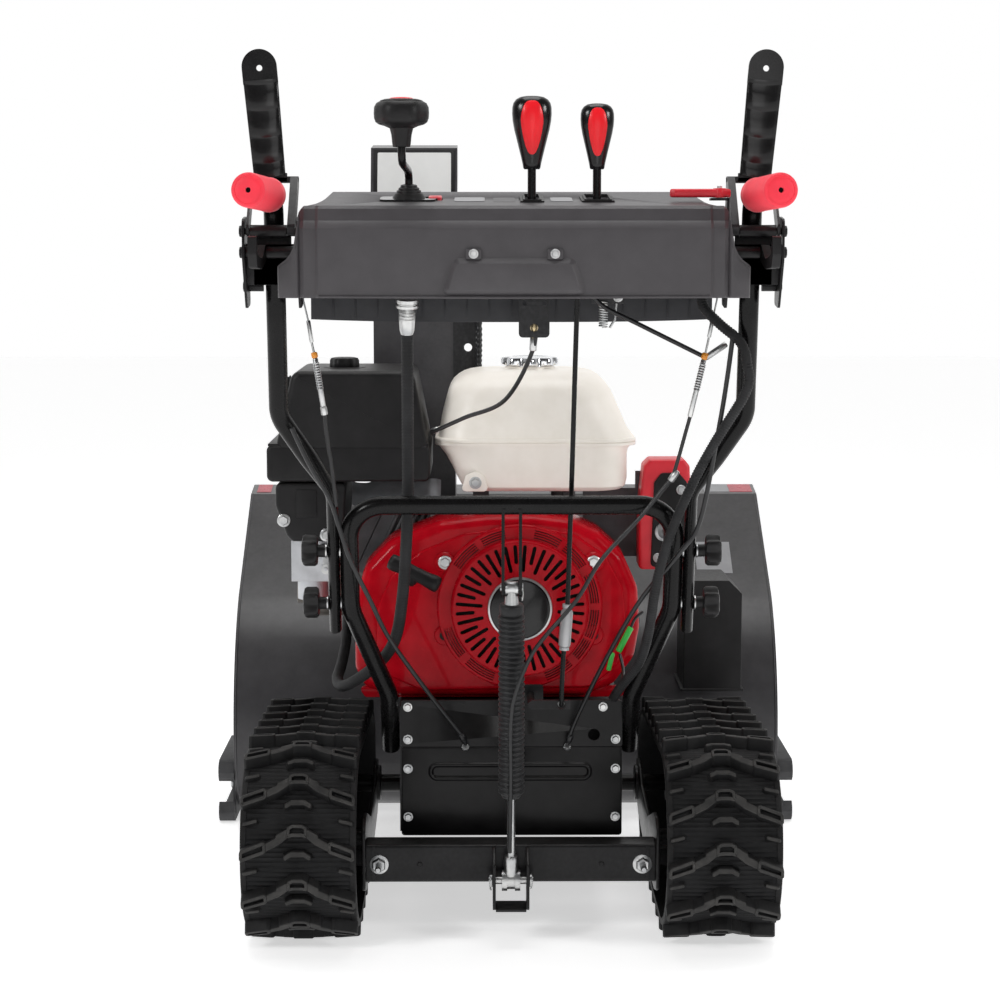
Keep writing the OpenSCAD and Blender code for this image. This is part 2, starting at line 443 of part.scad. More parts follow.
// ---------- tracks ----------
tb = 2*asin((R1-R2)/(axle[0]-idler[0]));           // slope of the top run is -tb
function loop(d) = concat(arc(idler,R1+d,90-tb,270,14), arc(axle,R2+d,-90,90-tb,14));
Lr = R1*(180+tb)*PI/180; Lf = R2*(180-tb)*PI/180; Ls = (axle[0]-idler[0])*cos(tb/2); Lt = Lr+Lf+2*Ls;
function at(s) = let(q=s-Lt*floor(s/Lt))
  q<Lr ? let(a=90-tb+q/R1*180/PI) [idler[0]+R1*cos(a),idler[1]+R1*sin(a),a] :
  q<Lr+Ls ? [q-Lr, idler[1]-R1, 270] :
  q<Lr+Ls+Lf ? let(a=270+(q-Lr-Ls)/R2*180/PI) [axle[0]+R2*cos(a),axle[1]+R2*sin(a),a] :
  let(u=(q-Lr-Ls-Lf)/Ls) [axle[0]+R2*cos(90-tb)-u*Ls*cos(tb), axle[1]+R2*sin(90-tb)+u*Ls*sin(tb), 90-tb];
lugs = 22;
module track(phase) union() {
  w=track_w/2; v=w-0.8;
  alongX(-w,w) difference() { polygon(loop(5)); polygon(loop(-4.6)); }
  for(i=[0:lugs-1]) let(p=at(phase+i*Lt/lugs)) translate([0,p[0],p[1]]) rotate([p[2]-90,0,0]) translate([0,0,2.5])
    linear_extrude(lug_h+2.5) polygon([[-v,-10],[-v,0],[-30,5],[-14,12],[14,12],[30,5],[v,0],[v,-10],[30,-4],[12,2],[-12,2],[-30,-4]]);
}
module track_left() color("#1a1a1b") translate([-track_gauge/2,0,0]) track(35);
module track_right() color("#1a1a1b") translate([track_gauge/2,0,0]) track(-4);
module sprocket_2d() difference() { polygon([for(i=[0:10]) for(k=[0:3]) let(a=i*360/11+[0,5,11,16][k]+8, r=[88,99.5,99.5,88][k]) [r*cos(a),r*sin(a)]]); for(i=[0:4]) rotate(i*72) translate([56,0]) circle(r=15); }
module drive_axle() color("#3a3b3e") union() {
  cylX(-318,318,axle[0],axle[1],12.5);
  both() { for(x=[240,288]) translate([x,axle[0],axle[1]]) rotate([90,0,90]) linear_extrude(14) sprocket_2d(); cylX(232,310,axle[0],axle[1],26); }
}
module idler_wheels() color("#3a3b3e") both() difference() {
  union() { for(x=[228,288]) { cylX(x,x+28,idler[0],idler[1],107.6); } cylX(222,322,idler[0],idler[1],26); }
  for(x=[220,296]) { difference() { cylX(x-1,x+21,idler[0],idler[1],96); cylX(x-2,x+22,idler[0],idler[1],26); } }
  cylX(200,340,idler[0],idler[1],8.06);
}
module track_frame() color("#1c1c1f") {
  difference() { box([-190.8,-22,76],[190.8,22,127]); box([-195,-19,79],[195,19,124]); }
  both() {
    difference() {
      union() {
        alongX(191,196) polygon([[-40,70],[-40,150],[-14,162],[20,160],[120,128],[250,138],[290,158],[345,158],[352,110],[300,84],[120,62],[0,60]]);
        cylX(186,191.5,axle[0],axle[1],26);
      }
      cylX(180,210,axle[0],axle[1],13);
    }
    cylX(196,326,idler[0],idler[1],8);
    cylX(326,330,idler[0],idler[1],14);
    box([232,86,28],[312,236,56]);
    box([196,112,60],[240,132,84]); box([196,196,60],[240,216,84]); box([232,106,56],[244,220,84]);
    cylY(-52,-22,174,101,6);
  }
  both() difference() { alongX(20,24) polygon([[-22.2,127],[-22.2,60],[-34,48],[-58,48],[-62,60],[-62,100],[-50,127]]); }
  cylX(-29,29,strut_pin[0],strut_pin[1],5);
  difference() { box([-24,-30,48],[24,-22.2,60]); }
}
// ---------- cables and small parts ----------
module control_cables() color("#141416") {
  sweep(smooth([[-272,-147,690],[-251,-137,643],[-227,-126,598],[-215,-121,559],[-203,-112,520],[-180,-90,466],[-156,-60,409],[-106,-18,328],[-66,16,268],[-60,25,252]],3),3,3,8);
  sweep(smooth([[268,-178,811],[262,-165,750],[254,-150,687],[235,-127,572],[211,-117,530],[164,-85,464],[123,-30,376],[88,14,290],[76,25,252]],3),3,3,8);
  sweep(smooth([[200,-124,625],[160,-122,575],[112,-120,521],[81,-116,469],[40,-112,420],[22,-108,392],[6,-104,350],[-1,-98,308],[-1,-90,230],[-2,-80,150],[-2,-75,132]],3),2.6,2.6,8);
  sweep(smooth([[28,-122,830],[26,-118,785],[-8,-60,718],[-60,5,690],[-100,60,668],[-105,104,664]],3),3,3,8);
  sweep(smooth([[95,-150,862],[110,-150,840],[157,-148,816],[240,-146,775]],3),3,3,8);
  sweep(smooth([[230,-150,860],[234,-156,838],[252,-170,818],[276,-184,796],[284,-186,770],[284,-182,738],[250,-150,672],[226,-132,622],[200,-124,559],[187,-119,514],[180,-106,474],[175,-82,422],[166,-48,377],[146,-8,338],[137,25,314]],3),6.5,6.5,10);
}
module flex_shaft() color("#161618") {
  rod([-127,-160,882],[-130,-128,836],11);
  sweep(smooth([[-130,-130,840],[-130,-118,803],[-131,-88,690],[-132,-66,590],[-136,-52,513],[-141,-34,457],[-150,-8,405],[-168,18,370],[-200,38,340],[-226,80,320],[-238,150,316],[-239,260,316],[-239,360,330],[-239,440,372],[-236.5,480,412]],3),8,8,10);
  translate([-236.5,505,431.8]) rotate([90,0,0]) cylinder(h=36,r=13,center=true);
  rod([-236.5,478,410],[-236.5,489,428],9);
}
module bolt(p,r=6,h=5) translate(p) rotate([90,0,0]) cylinder(h=h,r=r,$fn=6);
module fasteners() color("#c7c9cc") {
  for(z=[256,216,150]) { bolt([-137,36,z]); bolt([141,36,z]); }
  bolt([-137,36,300],5,4); bolt([124,36,300],5,4);
  both() for(y=[620,700]) cylX(hw+5.2,hw+12,y,50,9);
  both() bolt([47,-303,905],6,4.5);
  for(x=[-60,76]) rod([x,32.9,245.2],[x,26.9,249.6],5);
}

place() auger_housing();
place() impeller_housing();
place() scraper_bar();
place() skid_shoes();
place() tractor_frame();
place() rear_cover_upper();
place() rear_cover_lower();
place() belt_cover();
place() battery_box();
place() engine_block();
place() cylinder_head();
place() fan_cover();
place() recoil_starter();
place() fuel_tank();
place() air_cleaner();
place() carburettor();
place() muffler();
place() control_box();
place() starter_motor();
place() lower_handlebar();
place() upper_handlebars();
place() hand_grips();
place() lever_brackets();
place() dashboard();
place() dash_skirt();
place() dash_trim();
place() clamp_knobs();
place() fasteners();
place() bearings();
place() control_cables();
place() flex_shaft();
place() auger_gearbox();
place() transmission();
place() crankshaft();
place() recoil_handle();
place() fuel_cap();
place() ignition_key();
place() choke_lever();
place() rocker_switch();
place() paddle_left();
place() paddle_right();
place() trigger_left();
place() trigger_right();
place() tilt_lever();
place() chute_crank();
place() chute_lever();
place() speed_lever();
place() speed_rod();
place() shift_arm();
place() chute();
place() chute_deflector();
place() auger();
place() impeller();
place() track_frame();
place() track_left();
place() track_right();
place() drive_axle();
place() idler_wheels();
place() strut_barrel();
place() strut_rod();
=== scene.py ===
import bpy, bmesh, json, math, random
from mathutils import Vector as V, Matrix, noise


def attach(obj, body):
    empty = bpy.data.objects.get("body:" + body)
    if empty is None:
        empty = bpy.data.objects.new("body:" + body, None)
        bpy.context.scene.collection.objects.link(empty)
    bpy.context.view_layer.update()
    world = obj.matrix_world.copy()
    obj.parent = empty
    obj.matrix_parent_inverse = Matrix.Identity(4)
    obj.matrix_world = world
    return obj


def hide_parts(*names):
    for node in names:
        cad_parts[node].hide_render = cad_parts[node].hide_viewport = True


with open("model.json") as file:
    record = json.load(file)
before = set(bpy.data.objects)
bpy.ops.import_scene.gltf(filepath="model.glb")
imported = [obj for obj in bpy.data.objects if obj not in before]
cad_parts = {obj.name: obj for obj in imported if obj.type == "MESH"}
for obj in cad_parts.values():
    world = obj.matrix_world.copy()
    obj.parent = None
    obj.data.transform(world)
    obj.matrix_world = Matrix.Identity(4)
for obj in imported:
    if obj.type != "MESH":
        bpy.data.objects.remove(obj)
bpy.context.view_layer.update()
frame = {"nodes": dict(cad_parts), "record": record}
NODE = frame["nodes"]
REC = frame["record"]
YS = 325.0            # construction Y of the model's origin, mm
random.seed(7)


def W(p):
    """construction millimetres to the model's metres"""
    return (p[0] / 1000.0, (p[1] - YS) / 1000.0, p[2] / 1000.0)


# ------------------------------------------------------------------ materials
def mat(name, base, rough=0.5, metal=0.0, var=0.10, vscale=35.0, bump=0.15, bscale=900.0, bdist=0.0004,
        wear=0.0, wear_col=(0.5, 0.5, 0.5), dust=0.0, dust_col=(0.35, 0.33, 0.30), coat=0.0, coat_rough=0.1, rvar=0.10,
        spec=0.5, stretch=None, sheen=0.0, bump2=0.0, bscale2=60.0, second=None, alpha=None):
    m = bpy.data.materials.new(name)
    m.use_nodes = True
    nt = m.node_tree
    N, L = nt.nodes, nt.links
    bs = N["Principled BSDF"]
    tc = N.new("ShaderNodeTexCoord")
    co = tc.outputs["Object"]
    if stretch:
        mp = N.new("ShaderNodeMapping")
        mp.inputs["Scale"].default_value = stretch
        L.new(co, mp.inputs["Vector"])
        co = mp.outputs["Vector"]

    def nz(scale, detail=4, rgh=0.55):
        n = N.new("ShaderNodeTexNoise")
        n.inputs["Scale"].default_value = scale
        n.inputs["Detail"].default_value = detail
        n.inputs["Roughness"].default_value = rgh
        L.new(co, n.inputs["Vector"])
        return n

    big = nz(vscale)
    ramp = N.new("ShaderNodeValToRGB")
    b = tuple(base)
    c2 = second or tuple(min(1.0, c * (1 + var * 2.2) + 0.002) for c in b)
    c1 = tuple(c * (1 - var) for c in b)
    ramp.color_ramp.elements[0].position = 0.32
    ramp.color_ramp.elements[0].color = (*c1, 1)
    ramp.color_ramp.elements[1].position = 0.72
    ramp.color_ramp.elements[1].color = (*c2, 1)
    L.new(big.outputs["Fac"], ramp.inputs["Fac"])
    col = ramp.outputs["Color"]

    fine = nz(bscale, 3, 0.6)
    if dust > 0:
        geo = N.new("ShaderNodeNewGeometry")
        sep = N.new("ShaderNodeSeparateXYZ")
        L.new(geo.outputs["Normal"], sep.inputs["Vector"])
        mr = N.new("ShaderNodeMapRange")
        mr.inputs["From Min"].default_value = 0.25
        mr.inputs["From Max"].default_value = 1.0
        mr.inputs["To Max"].default_value = dust
        L.new(sep.outputs["Z"], mr.inputs["Value"])
        mu = N.new("ShaderNodeMath")
        mu.operation = "MULTIPLY"
        L.new(mr.outputs["Result"], mu.inputs[0])
        L.new(nz(120.0, 5).outputs["Fac"], mu.inputs[1])
        mx = N.new("ShaderNodeMixRGB")
        mx.inputs["Color2"].default_value = (*dust_col, 1)
        L.new(mu.outputs["Value"], mx.inputs["Fac"])
        L.new(col, mx.inputs["Color1"])
        col = mx.outputs["Color"]
    if wear > 0:
        geo2 = N.new("ShaderNodeNewGeometry")
        wr = N.new("ShaderNodeValToRGB")
        wr.color_ramp.elements[0].position = 0.53
        wr.color_ramp.elements[0].color = (0, 0, 0, 1)
        wr.color_ramp.elements[1].position = 0.62
        wr.color_ramp.elements[1].color = (wear, wear, wear, 1)
        L.new(geo2.outputs["Pointiness"], wr.inputs["Fac"])
        mu2 = N.new("ShaderNodeMath")
        mu2.operation = "MULTIPLY"
        L.new(wr.outputs["Color"], mu2.inputs[0])
        L.new(nz(220.0, 4).outputs["Fac"], mu2.inputs[1])
        mx2 = N.new("ShaderNodeMixRGB")
        mx2.inputs["Color2"].default_value = (*wear_col, 1)
        L.new(mu2.outputs["Value"], mx2.inputs["Fac"])
        L.new(col, mx2.inputs["Color1"])
        col = mx2.outputs["Color"]
    L.new(col, bs.inputs["Base Color"])

    rr = N.new("ShaderNodeMapRange")
    rr.inputs["To Min"].default_value = max(0.02, rough - rvar)
    rr.inputs["To Max"].default_value = min(1.0, rough + rvar)
    L.new(nz(vscale * 3.1, 5).outputs["Fac"], rr.inputs["Value"])
    L.new(rr.outputs["Result"], bs.inputs["Roughness"])
    bs.inputs["Metallic"].default_value = metal
    bs.inputs["Specular IOR Level"].default_value = spec
    if coat:
        bs.inputs["Coat Weight"].default_value = coat
        bs.inputs["Coat Roughness"].default_value = coat_rough
    if sheen:
        bs.inputs["Sheen Weight"].default_value = sheen
    last = None
    if bump2 > 0:
        bp2 = N.new("ShaderNodeBump")
        bp2.inputs["Strength"].default_value = bump2
        bp2.inputs["Distance"].default_value = 0.0015
        L.new(nz(bscale2, 3).outputs["Fac"], bp2.inputs["Height"])
        last = bp2
    if bump > 0:
        bp = N.new("ShaderNodeBump")
        bp.inputs["Strength"].default_value = bump
        bp.inputs["Distance"].default_value = bdist
        L.new(fine.outputs["Fac"], bp.inputs["Height"])
        if last:
            L.new(last.outputs["Normal"], bp.inputs["Normal"])
        last = bp
    if last:
        L.new(last.outputs["Normal"], bs.inputs["Normal"])
    return m


M = {
    "blockgrey": mat("block_casting_m", (0.075, 0.076, 0.080), 0.50, metal=0.5, var=0.15, bump=0.5, bscale=900),
    "housing": mat("housing_paint_m", (0.028, 0.0265, 0.029), 0.34, spec=0.45, var=0.12, bump=0.22, bscale=1500, coat=0.15, coat_rough=0.25, dust=0.12, wear=0.25, wear_col=(0.20, 0.20, 0.21)),
    "frame": mat("frame_paint_m", (0.0035, 0.0032, 0.0035), 0.33, spec=0.15, var=0.15, bump=0.20, bscale=1300, coat=0.12, coat_rough=0.2, wear=0.3, wear_col=(0.16, 0.16, 0.17), dust=0.06),
    "tube": mat("tube_paint_m", (0.003, 0.0028, 0.003), 0.27, spec=0.14, var=0.12, bump=0.10, bscale=1400, coat=0.10, coat_rough=0.12, dust=0.02),
    "red": mat("red_paint_m", (0.37, 0.0008, 0.007), 0.26, spec=0.06, var=0.10, bump=0.06, bscale=900, coat=0.10, coat_rough=0.05, rvar=0.06, bump2=0.05, bscale2=45, wear=0.10, wear_col=(0.50, 0.06, 0.06)),
    "redflat": mat("red_cast_m", (0.50, 0.012, 0.022), 0.35, var=0.07, bump=0.18, bscale=1700, coat=0.4, coat_rough=0.2),
    "redplas": mat("red_plastic_m", (0.62, 0.016, 0.030), 0.38, var=0.06, bump=0.15, bscale=1500),
    "grip": mat("grip_rubber_m", (0.88, 0.020, 0.048), 0.50, var=0.05, bump=0.25, bscale=2200, sheen=0.25),
    "cream": mat("cream_plastic_m", (0.92, 0.865, 0.785), 0.38, var=0.035, bump=0.20, bscale=1100, bump2=0.06, bscale2=30, rvar=0.06, second=(0.94, 0.89, 0.82)),
    "black": mat("black_plastic_m", (0.008, 0.0075, 0.008), 0.44, spec=0.24, var=0.15, bump=0.30, bscale=1500, dust=0.05),
    "blackgl": mat("black_gloss_m", (0.0045, 0.0042, 0.0045), 0.22, spec=0.25, var=0.12, bump=0.06, bscale=900, coat=0.25, coat_rough=0.1),
    "dash": mat("dash_plastic_m", (0.051, 0.047, 0.051), 0.44, spec=0.4, var=0.06, bump=0.30, bscale=2400, rvar=0.05, second=(0.059, 0.055, 0.059)),
    "dashtop": mat("dash_insert_m", (0.26, 0.27, 0.28), 0.42, var=0.05, bump=0.20, bscale=2000),
    "skirt": mat("skirt_plastic_m", (0.020, 0.020, 0.023), 0.50, spec=0.35, var=0.10, bump=0.25, bscale=1700),
    "rubber": mat("track_rubber_m", (0.007, 0.007, 0.0075), 0.58, spec=0.18, var=0.22, bump=0.55, bscale=700, bdist=0.0006, dust=0.14, dust_col=(0.10, 0.095, 0.09), wear=0.5, wear_col=(0.060, 0.056, 0.053), bump2=0.10, bscale2=90),
    "cord": mat("cable_sheath_m", (0.006, 0.006, 0.007), 0.38, spec=0.35, var=0.10, bump=0.12, bscale=1200, coat=0.2),
    "braid": mat("braided_sleeve_m", (0.010, 0.010, 0.011), 0.55, spec=0.35, var=0.35, bump=0.9, bscale=1500, bdist=0.0012),
    "alu": mat("cast_alloy_m", (0.50, 0.51, 0.53), 0.46, metal=0.85, var=0.10, bump=0.55, bscale=900, wear=0.3, wear_col=(0.8, 0.8, 0.82)),
    "steel": mat("zinc_steel_m", (0.40, 0.41, 0.42), 0.34, metal=1.0, var=0.10, bump=0.12, bscale=900, second=(0.68, 0.68, 0.67)),
    "bright": mat("bright_steel_m", (0.80, 0.81, 0.83), 0.16, metal=1.0, var=0.05, bump=0.05, bscale=500, stretch=(1, 1, 6)),
    "brass": mat("brass_m", (0.62, 0.50, 0.30), 0.35, metal=1.0, var=0.12, bump=0.2, bscale=700),
    "iron": mat("cast_iron_m", (0.030, 0.030, 0.032), 0.58, metal=0.1, var=0.2, bump=0.6, bscale=700, wear=0.5, wear_col=(0.15, 0.15, 0.15)),
    "exh": mat("exhaust_steel_m", (0.22, 0.20, 0.185), 0.50, metal=0.9, var=0.25, bump=0.3, bscale=500, second=(0.32, 0.30, 0.27)),
    "grey": mat("grey_sheet_m", (0.17, 0.175, 0.185), 0.45, metal=0.3, var=0.12, bump=0.2, bscale=900),
    "silverpl": mat("silver_sleeve_m", (0.42, 0.42, 0.43), 0.38, metal=0.4, var=0.08, bump=0.15, bscale=900),
    "white": mat("white_label_m", (0.62, 0.62, 0.61), 0.45, var=0.02, bump=0.05, bscale=800),
    "label_grey": mat("grey_label_m", (0.30, 0.30, 0.31), 0.45, var=0.05, bump=0.05, bscale=800),
    "yellow": mat("paper_tag_m", (0.80, 0.66, 0.12), 0.60, var=0.06, bump=0.25, bscale=600),
    "string": mat("string_m", (0.78, 0.76, 0.72), 0.75, var=0.08, bump=0.6, bscale=1500),
    "green": mat("green_sleeve_m", (0.03, 0.42, 0.05), 0.40, var=0.10, bump=0.15, bscale=900),
    "orange": mat("orange_ring_m", (0.75, 0.28, 0.03), 0.42, var=0.08, bump=0.1, bscale=900),
    # painted shade: near-black fill put inside holes and behind the starter grille in place of the shade there
    "painted_shade_fill": mat("painted_shade_inside_m", (0.004, 0.004, 0.004), 0.80, var=0.2, bump=0.2, bscale=400),
    "bellows": mat("bellows_rubber_m", (0.008, 0.008, 0.009), 0.45, spec=0.32, var=0.15, bump=0.25, bscale=1300, dust=0.10, dust_col=(0.12, 0.12, 0.12), sheen=0.1),
    "belt": mat("belt_rubber_m", (0.02, 0.02, 0.021), 0.7, var=0.15, bump=0.4, bscale=900),
}

NODEMAT = {
    "auger_housing": "housing", "impeller_housing": "housing", "scraper_bar": "steel", "skid_shoes": "iron", "tractor_frame": "frame",
    "rear_cover_upper": "frame", "rear_cover_lower": "frame", "belt_cover": "black", "battery_box": "black", "engine_block": "alu",
    "cylinder_head": "alu", "fan_cover": "red", "recoil_starter": "red", "fuel_tank": "cream", "air_cleaner": "black", "carburettor": "alu",
    "muffler": "exh", "control_box": "redplas", "starter_motor": "frame", "lower_handlebar": "tube", "upper_handlebars": "tube",
    "hand_grips": "grip", "lever_brackets": "frame", "dashboard": "dash", "dash_skirt": "skirt", "dash_trim": "black", "clamp_knobs": "black",
    "fasteners": "steel", "bearings": "steel", "control_cables": "cord", "flex_shaft": "braid", "auger_gearbox": "alu", "transmission": "iron",
    "crankshaft": "steel", "recoil_handle": "black", "fuel_cap": "bright", "ignition_key": "black", "choke_lever": "steel", "rocker_switch": "redplas",
    "paddle_left": "black", "paddle_right": "black", "trigger_left": "black", "trigger_right": "black", "tilt_lever": "redplas",
    "chute_crank": "black", "chute_lever": "black", "speed_lever": "black", "speed_rod": "tube", "shift_arm": "frame", "chute": "housing",
    "chute_deflector": "housing", "auger": "red", "impeller": "redflat", "track_frame": "frame", "track_left": "rubber", "track_right": "rubber",
    "drive_axle": "steel", "idler_wheels": "black", "strut_barrel": "bellows", "strut_rod": "bright"}
for n, o in NODE.items():
    o.data.materials.clear()
    o.data.materials.append(M[NODEMAT[n]])
BODY = {n: b for b, ns in REC["behaviour"]["bodies"].items() for n in ns}
ROOT = BODY["auger_housing"]


# ------------------------------------------------------------------ mesh builder
def cr(a, b, c, d, t):
    return 0.5 * (2 * b + (c - a) * t + (2 * a - 5 * b + 4 * c - d) * t * t + (3 * b - a - 3 * c + d) * t ** 3)


def smooth(P, k=6):
    P = [V(p) for p in P]
    out = []
    for i in range(len(P) - 1):
        a, b, c, d = P[max(i - 1, 0)], P[i], P[i + 1], P[min(i + 2, len(P) - 1)]
        out += [cr(a, b, c, d, j / k) for j in range(k)]
    return out + [P[-1]]


def fillet(P, R, n=8):
    P = [V(p) for p in P]
    if not isinstance(R, (list, tuple)):
        R = [R] * (len(P) - 2)
    out = [P[0]]
    for i in range(1, len(P) - 1):
        A, B, C = P[i - 1], P[i], P[i + 1]
        u, w = (A - B).normalized(), (C - B).normalized()
        ang = u.angle(w)
        if ang > math.pi - 0.02:
            out.append(B)
            continue
        t = R[i - 1] / math.tan(ang / 2)
        c = B + (u + w).normalized() * R[i - 1] / math.sin(ang / 2)
        a, b = (B + u * t - c).normalized(), (B + w * t - c).normalized()
        om = a.angle(b)
        out += [c + R[i - 1] * (math.sin(om * (1 - j / n)) * a + math.sin(om * j / n) * b) / math.sin(om) for j in range(n + 1)]
    return out + [P[-1]]


def arc2(c, r, a0, a1, n):
    return [(c[0] + r * math.cos(math.radians(a0 + (a1 - a0) * i / n)), c[1] + r * math.sin(math.radians(a0 + (a1 - a0) * i / n))) for i in range(n + 1)]


def rrect(x0, y0, x1, y1, r, n=5):
    return (arc2((x1 - r, y0 + r), r, -90, 0, n) + arc2((x1 - r, y1 - r), r, 0, 90, n) +
            arc2((x0 + r, y1 - r), r, 90, 180, n) + arc2((x0 + r, y0 + r), r, 180, 270, n))


def round2(P, R, n=4):
    """round the corners of a closed 2-D outline"""
    out = []
    m = len(P)
    for i in range(m):
        r = R[i] if isinstance(R, (list, tuple)) else R
        A, B, C = V((*P[i - 1], 0)), V((*P[i], 0)), V((*P[(i + 1) % m], 0))
        u, w = (A - B), (C - B)
        la, lc = u.length, w.length
        u.normalize(), w.normalize()
        ang = u.angle(w)
        if r <= 0 or ang > math.pi - 0.03:
            out.append((B.x, B.y))
            continue
        t = min(r / math.tan(ang / 2), la * 0.48, lc * 0.48)
        rr = t * math.tan(ang / 2)
        c = B + (u + w).normalized() * rr / math.sin(ang / 2)
        a, b = (B + u * t - c).normalized(), (B + w * t - c).normalized()
        om = a.angle(b)
        for j in range(n + 1):
            p = c + rr * (math.sin(om * (1 - j / n)) * a + math.sin(om * j / n) * b) / math.sin(om)
            out.append((p.x, p.y))
    return out


def inset(P, d):
    """move a closed outline inwards by d (outline counter-clockwise or clockwise)"""
    area = sum(P[i - 1][0] * P[i][1] - P[i][0] * P[i - 1][1] for i in range(len(P)))
    s = 1 if area > 0 else -1
    out = []
    m = len(P)
    for i in range(m):
        a, b, c = V(P[i - 1]), V(P[i]), V(P[(i + 1) % m])
        e1, e2 = (b - a), (c - b)
        if e1.length < 1e-9 or e2.length < 1e-9:
            out.append((b.x, b.y))
            continue
        e1.normalize(), e2.normalize()
        n1, n2 = V((-e1.y, e1.x)) * s, V((-e2.y, e2.x)) * s
        k = max(0.35, 1 + n1.dot(n2))
        q = b + (n1 + n2) * d / k
        out.append((q.x, q.y))
    return out


class MB:
    def __init__(s):
        s.v, s.f, s.m = [], [], []

    def add(s, vs, fs, m=0):
        o = len(s.v)
        s.v += [tuple(v) for v in vs]
        s.f += [tuple(i + o for i in f) for f in fs]
        s.m += [m] * len(fs)
        return s

    def loft(s, rings, m=0, cap0=True, cap1=True, closed=False):
        n = len(rings[0])
        vs = [p for r in rings for p in r]
        fs = []
        k = len(rings)
        for i in range(k if closed else k - 1):
            a, b = i * n, ((i + 1) % k) * n
            fs += [(a + j, a + (j + 1) % n, b + (j + 1) % n, b + j) for j in range(n)]
        if not closed and cap0:
            fs.append(tuple(range(n - 1, -1, -1)))
        if not closed and cap1:
            fs.append(tuple((k - 1) * n + j for j in range(n)))
        return s.add(vs, fs, m)

    def tube(s, P, r, n=16, m=0, ref=(1, 0, 0), r2=None, round_ends=False, closed=False, cap=True):
        P = [V(p) for p in P]
        k = len(P)
        if closed:
            T = [(P[(i + 1) % k] - P[i - 1]).normalized() for i in range(k)]
        else:
            T = [(P[min(i + 1, k - 1)] - P[max(i - 1, 0)]).normalized() for i in range(k)]
        R = [r(i) if callable(r) else (r[i] if isinstance(r, (list, tuple)) else r) for i in range(k)]
        R2 = R if r2 is None else [r2[i] if isinstance(r2, (list, tuple)) else r2 for i in range(k)]
        u = V(ref) - V(ref).dot(T[0]) * T[0]
        if u.length < 1e-4:
            u = V((0, 1, 0)) - V((0, 1, 0)).dot(T[0]) * T[0]
        u.normalize()
        rings = []
        for i in range(k):
            u = (u - u.dot(T[i]) * T[i]).normalized()
            w = T[i].cross(u)
            rings.append([P[i] + u * R[i] * math.cos(2 * math.pi * j / n) + w * R2[i] * math.sin(2 * math.pi * j / n) for j in range(n)])
        return s.loft(rings, m, cap, cap, closed)

    def lathe(s, prof, o, ax, n=40, m=0, cap0=True, cap1=True, lobes=0, amp=0.0, lobe_fn=None):
        """prof: (radius, height along the axis)"""
        ax = V(ax).normalized()
        u = V((1, 0, 0)) if abs(ax.x) < 0.9 else V((0, 0, 1))
        u = (u - u.dot(ax) * ax).normalized()
        w = ax.cross(u)
        o = V(o)
        rings = []
        for q in prof:
            r, h = q[0], q[1]
            am = q[2] if len(q) > 2 else amp
            ring = []
            for j in range(n):
                a = 2 * math.pi * j / n
                rr = r * (1 + am * math.cos(lobes * a)) if lobes else r
                ring.append(o + ax * h + u * rr * math.cos(a) + w * rr * math.sin(a))
            rings.append(ring)
        return s.loft(rings, m, cap0, cap1)

    def prism(s, P, o, ux, uy, h0, h1, m=0, ch=0.0, chn=2, both=True):
        """outline P (2-D) in the plane (ux, uy) through o, from h0 to h1 along ux x uy, edges rounded by ch"""
        o, ux, uy = V(o), V(ux), V(uy)
        n = ux.cross(uy)
        area = sum(P[i - 1][0] * P[i][1] - P[i][0] * P[i - 1][1] for i in range(len(P)))
        if area < 0:
            P = list(reversed(P))
        levels = []
        if ch > 0:
            for j in range(chn + 1):
                a = math.pi / 2 * j / chn
                levels.append((ch * (1 - math.sin(a)), h0 + ch * (1 - math.cos(a))))
            top = [(ch * (1 - math.sin(math.pi / 2 * j / chn)), h1 - ch * (1 - math.cos(math.pi / 2 * j / chn))) for j in range(chn, -1, -1)]
            if not both:
                levels = [(0, h0)]
            levels += top
        else:
            levels = [(0, h0), (0, h1)]
        rings = []
        for d, h in levels:
            Q = inset(P, d) if d > 1e-6 else P
            rings.append([o + ux * q[0] + uy * q[1] + n * h for q in Q])
        return s.loft(rings, m)

    def box(s, a, b, m=0, ch=0.0):
        return s.prism([(a[0], a[1]), (b[0], a[1]), (b[0], b[1]), (a[0], b[1])], (0, 0, 0), (1, 0, 0), (0, 1, 0), a[2], b[2], m, ch)

    def ybox(s, P, y0, y1, m=0, ch=0.0, both=True, chn=2):
        """outline in (x, z), from y0 (the operator's side) to y1"""
        return s.prism([(p[0], p[1]) for p in P], (0, 0, 0), (1, 0, 0), (0, 0, 1), -y1, -y0, m, ch, chn, both)

    def xbox(s, P, x0, x1, m=0, ch=0.0, both=True, chn=2):
        return s.prism([(p[0], p[1]) for p in P], (0, 0, 0), (0, 1, 0), (0, 0, 1), x0, x1, m, ch, chn, both)

    def zbox(s, P, z0, z1, m=0, ch=0.0, both=True, chn=2):
        return s.prism([(p[0], p[1]) for p in P], (0, 0, 0), (1, 0, 0), (0, 1, 0), z0, z1, m, ch, chn, both)

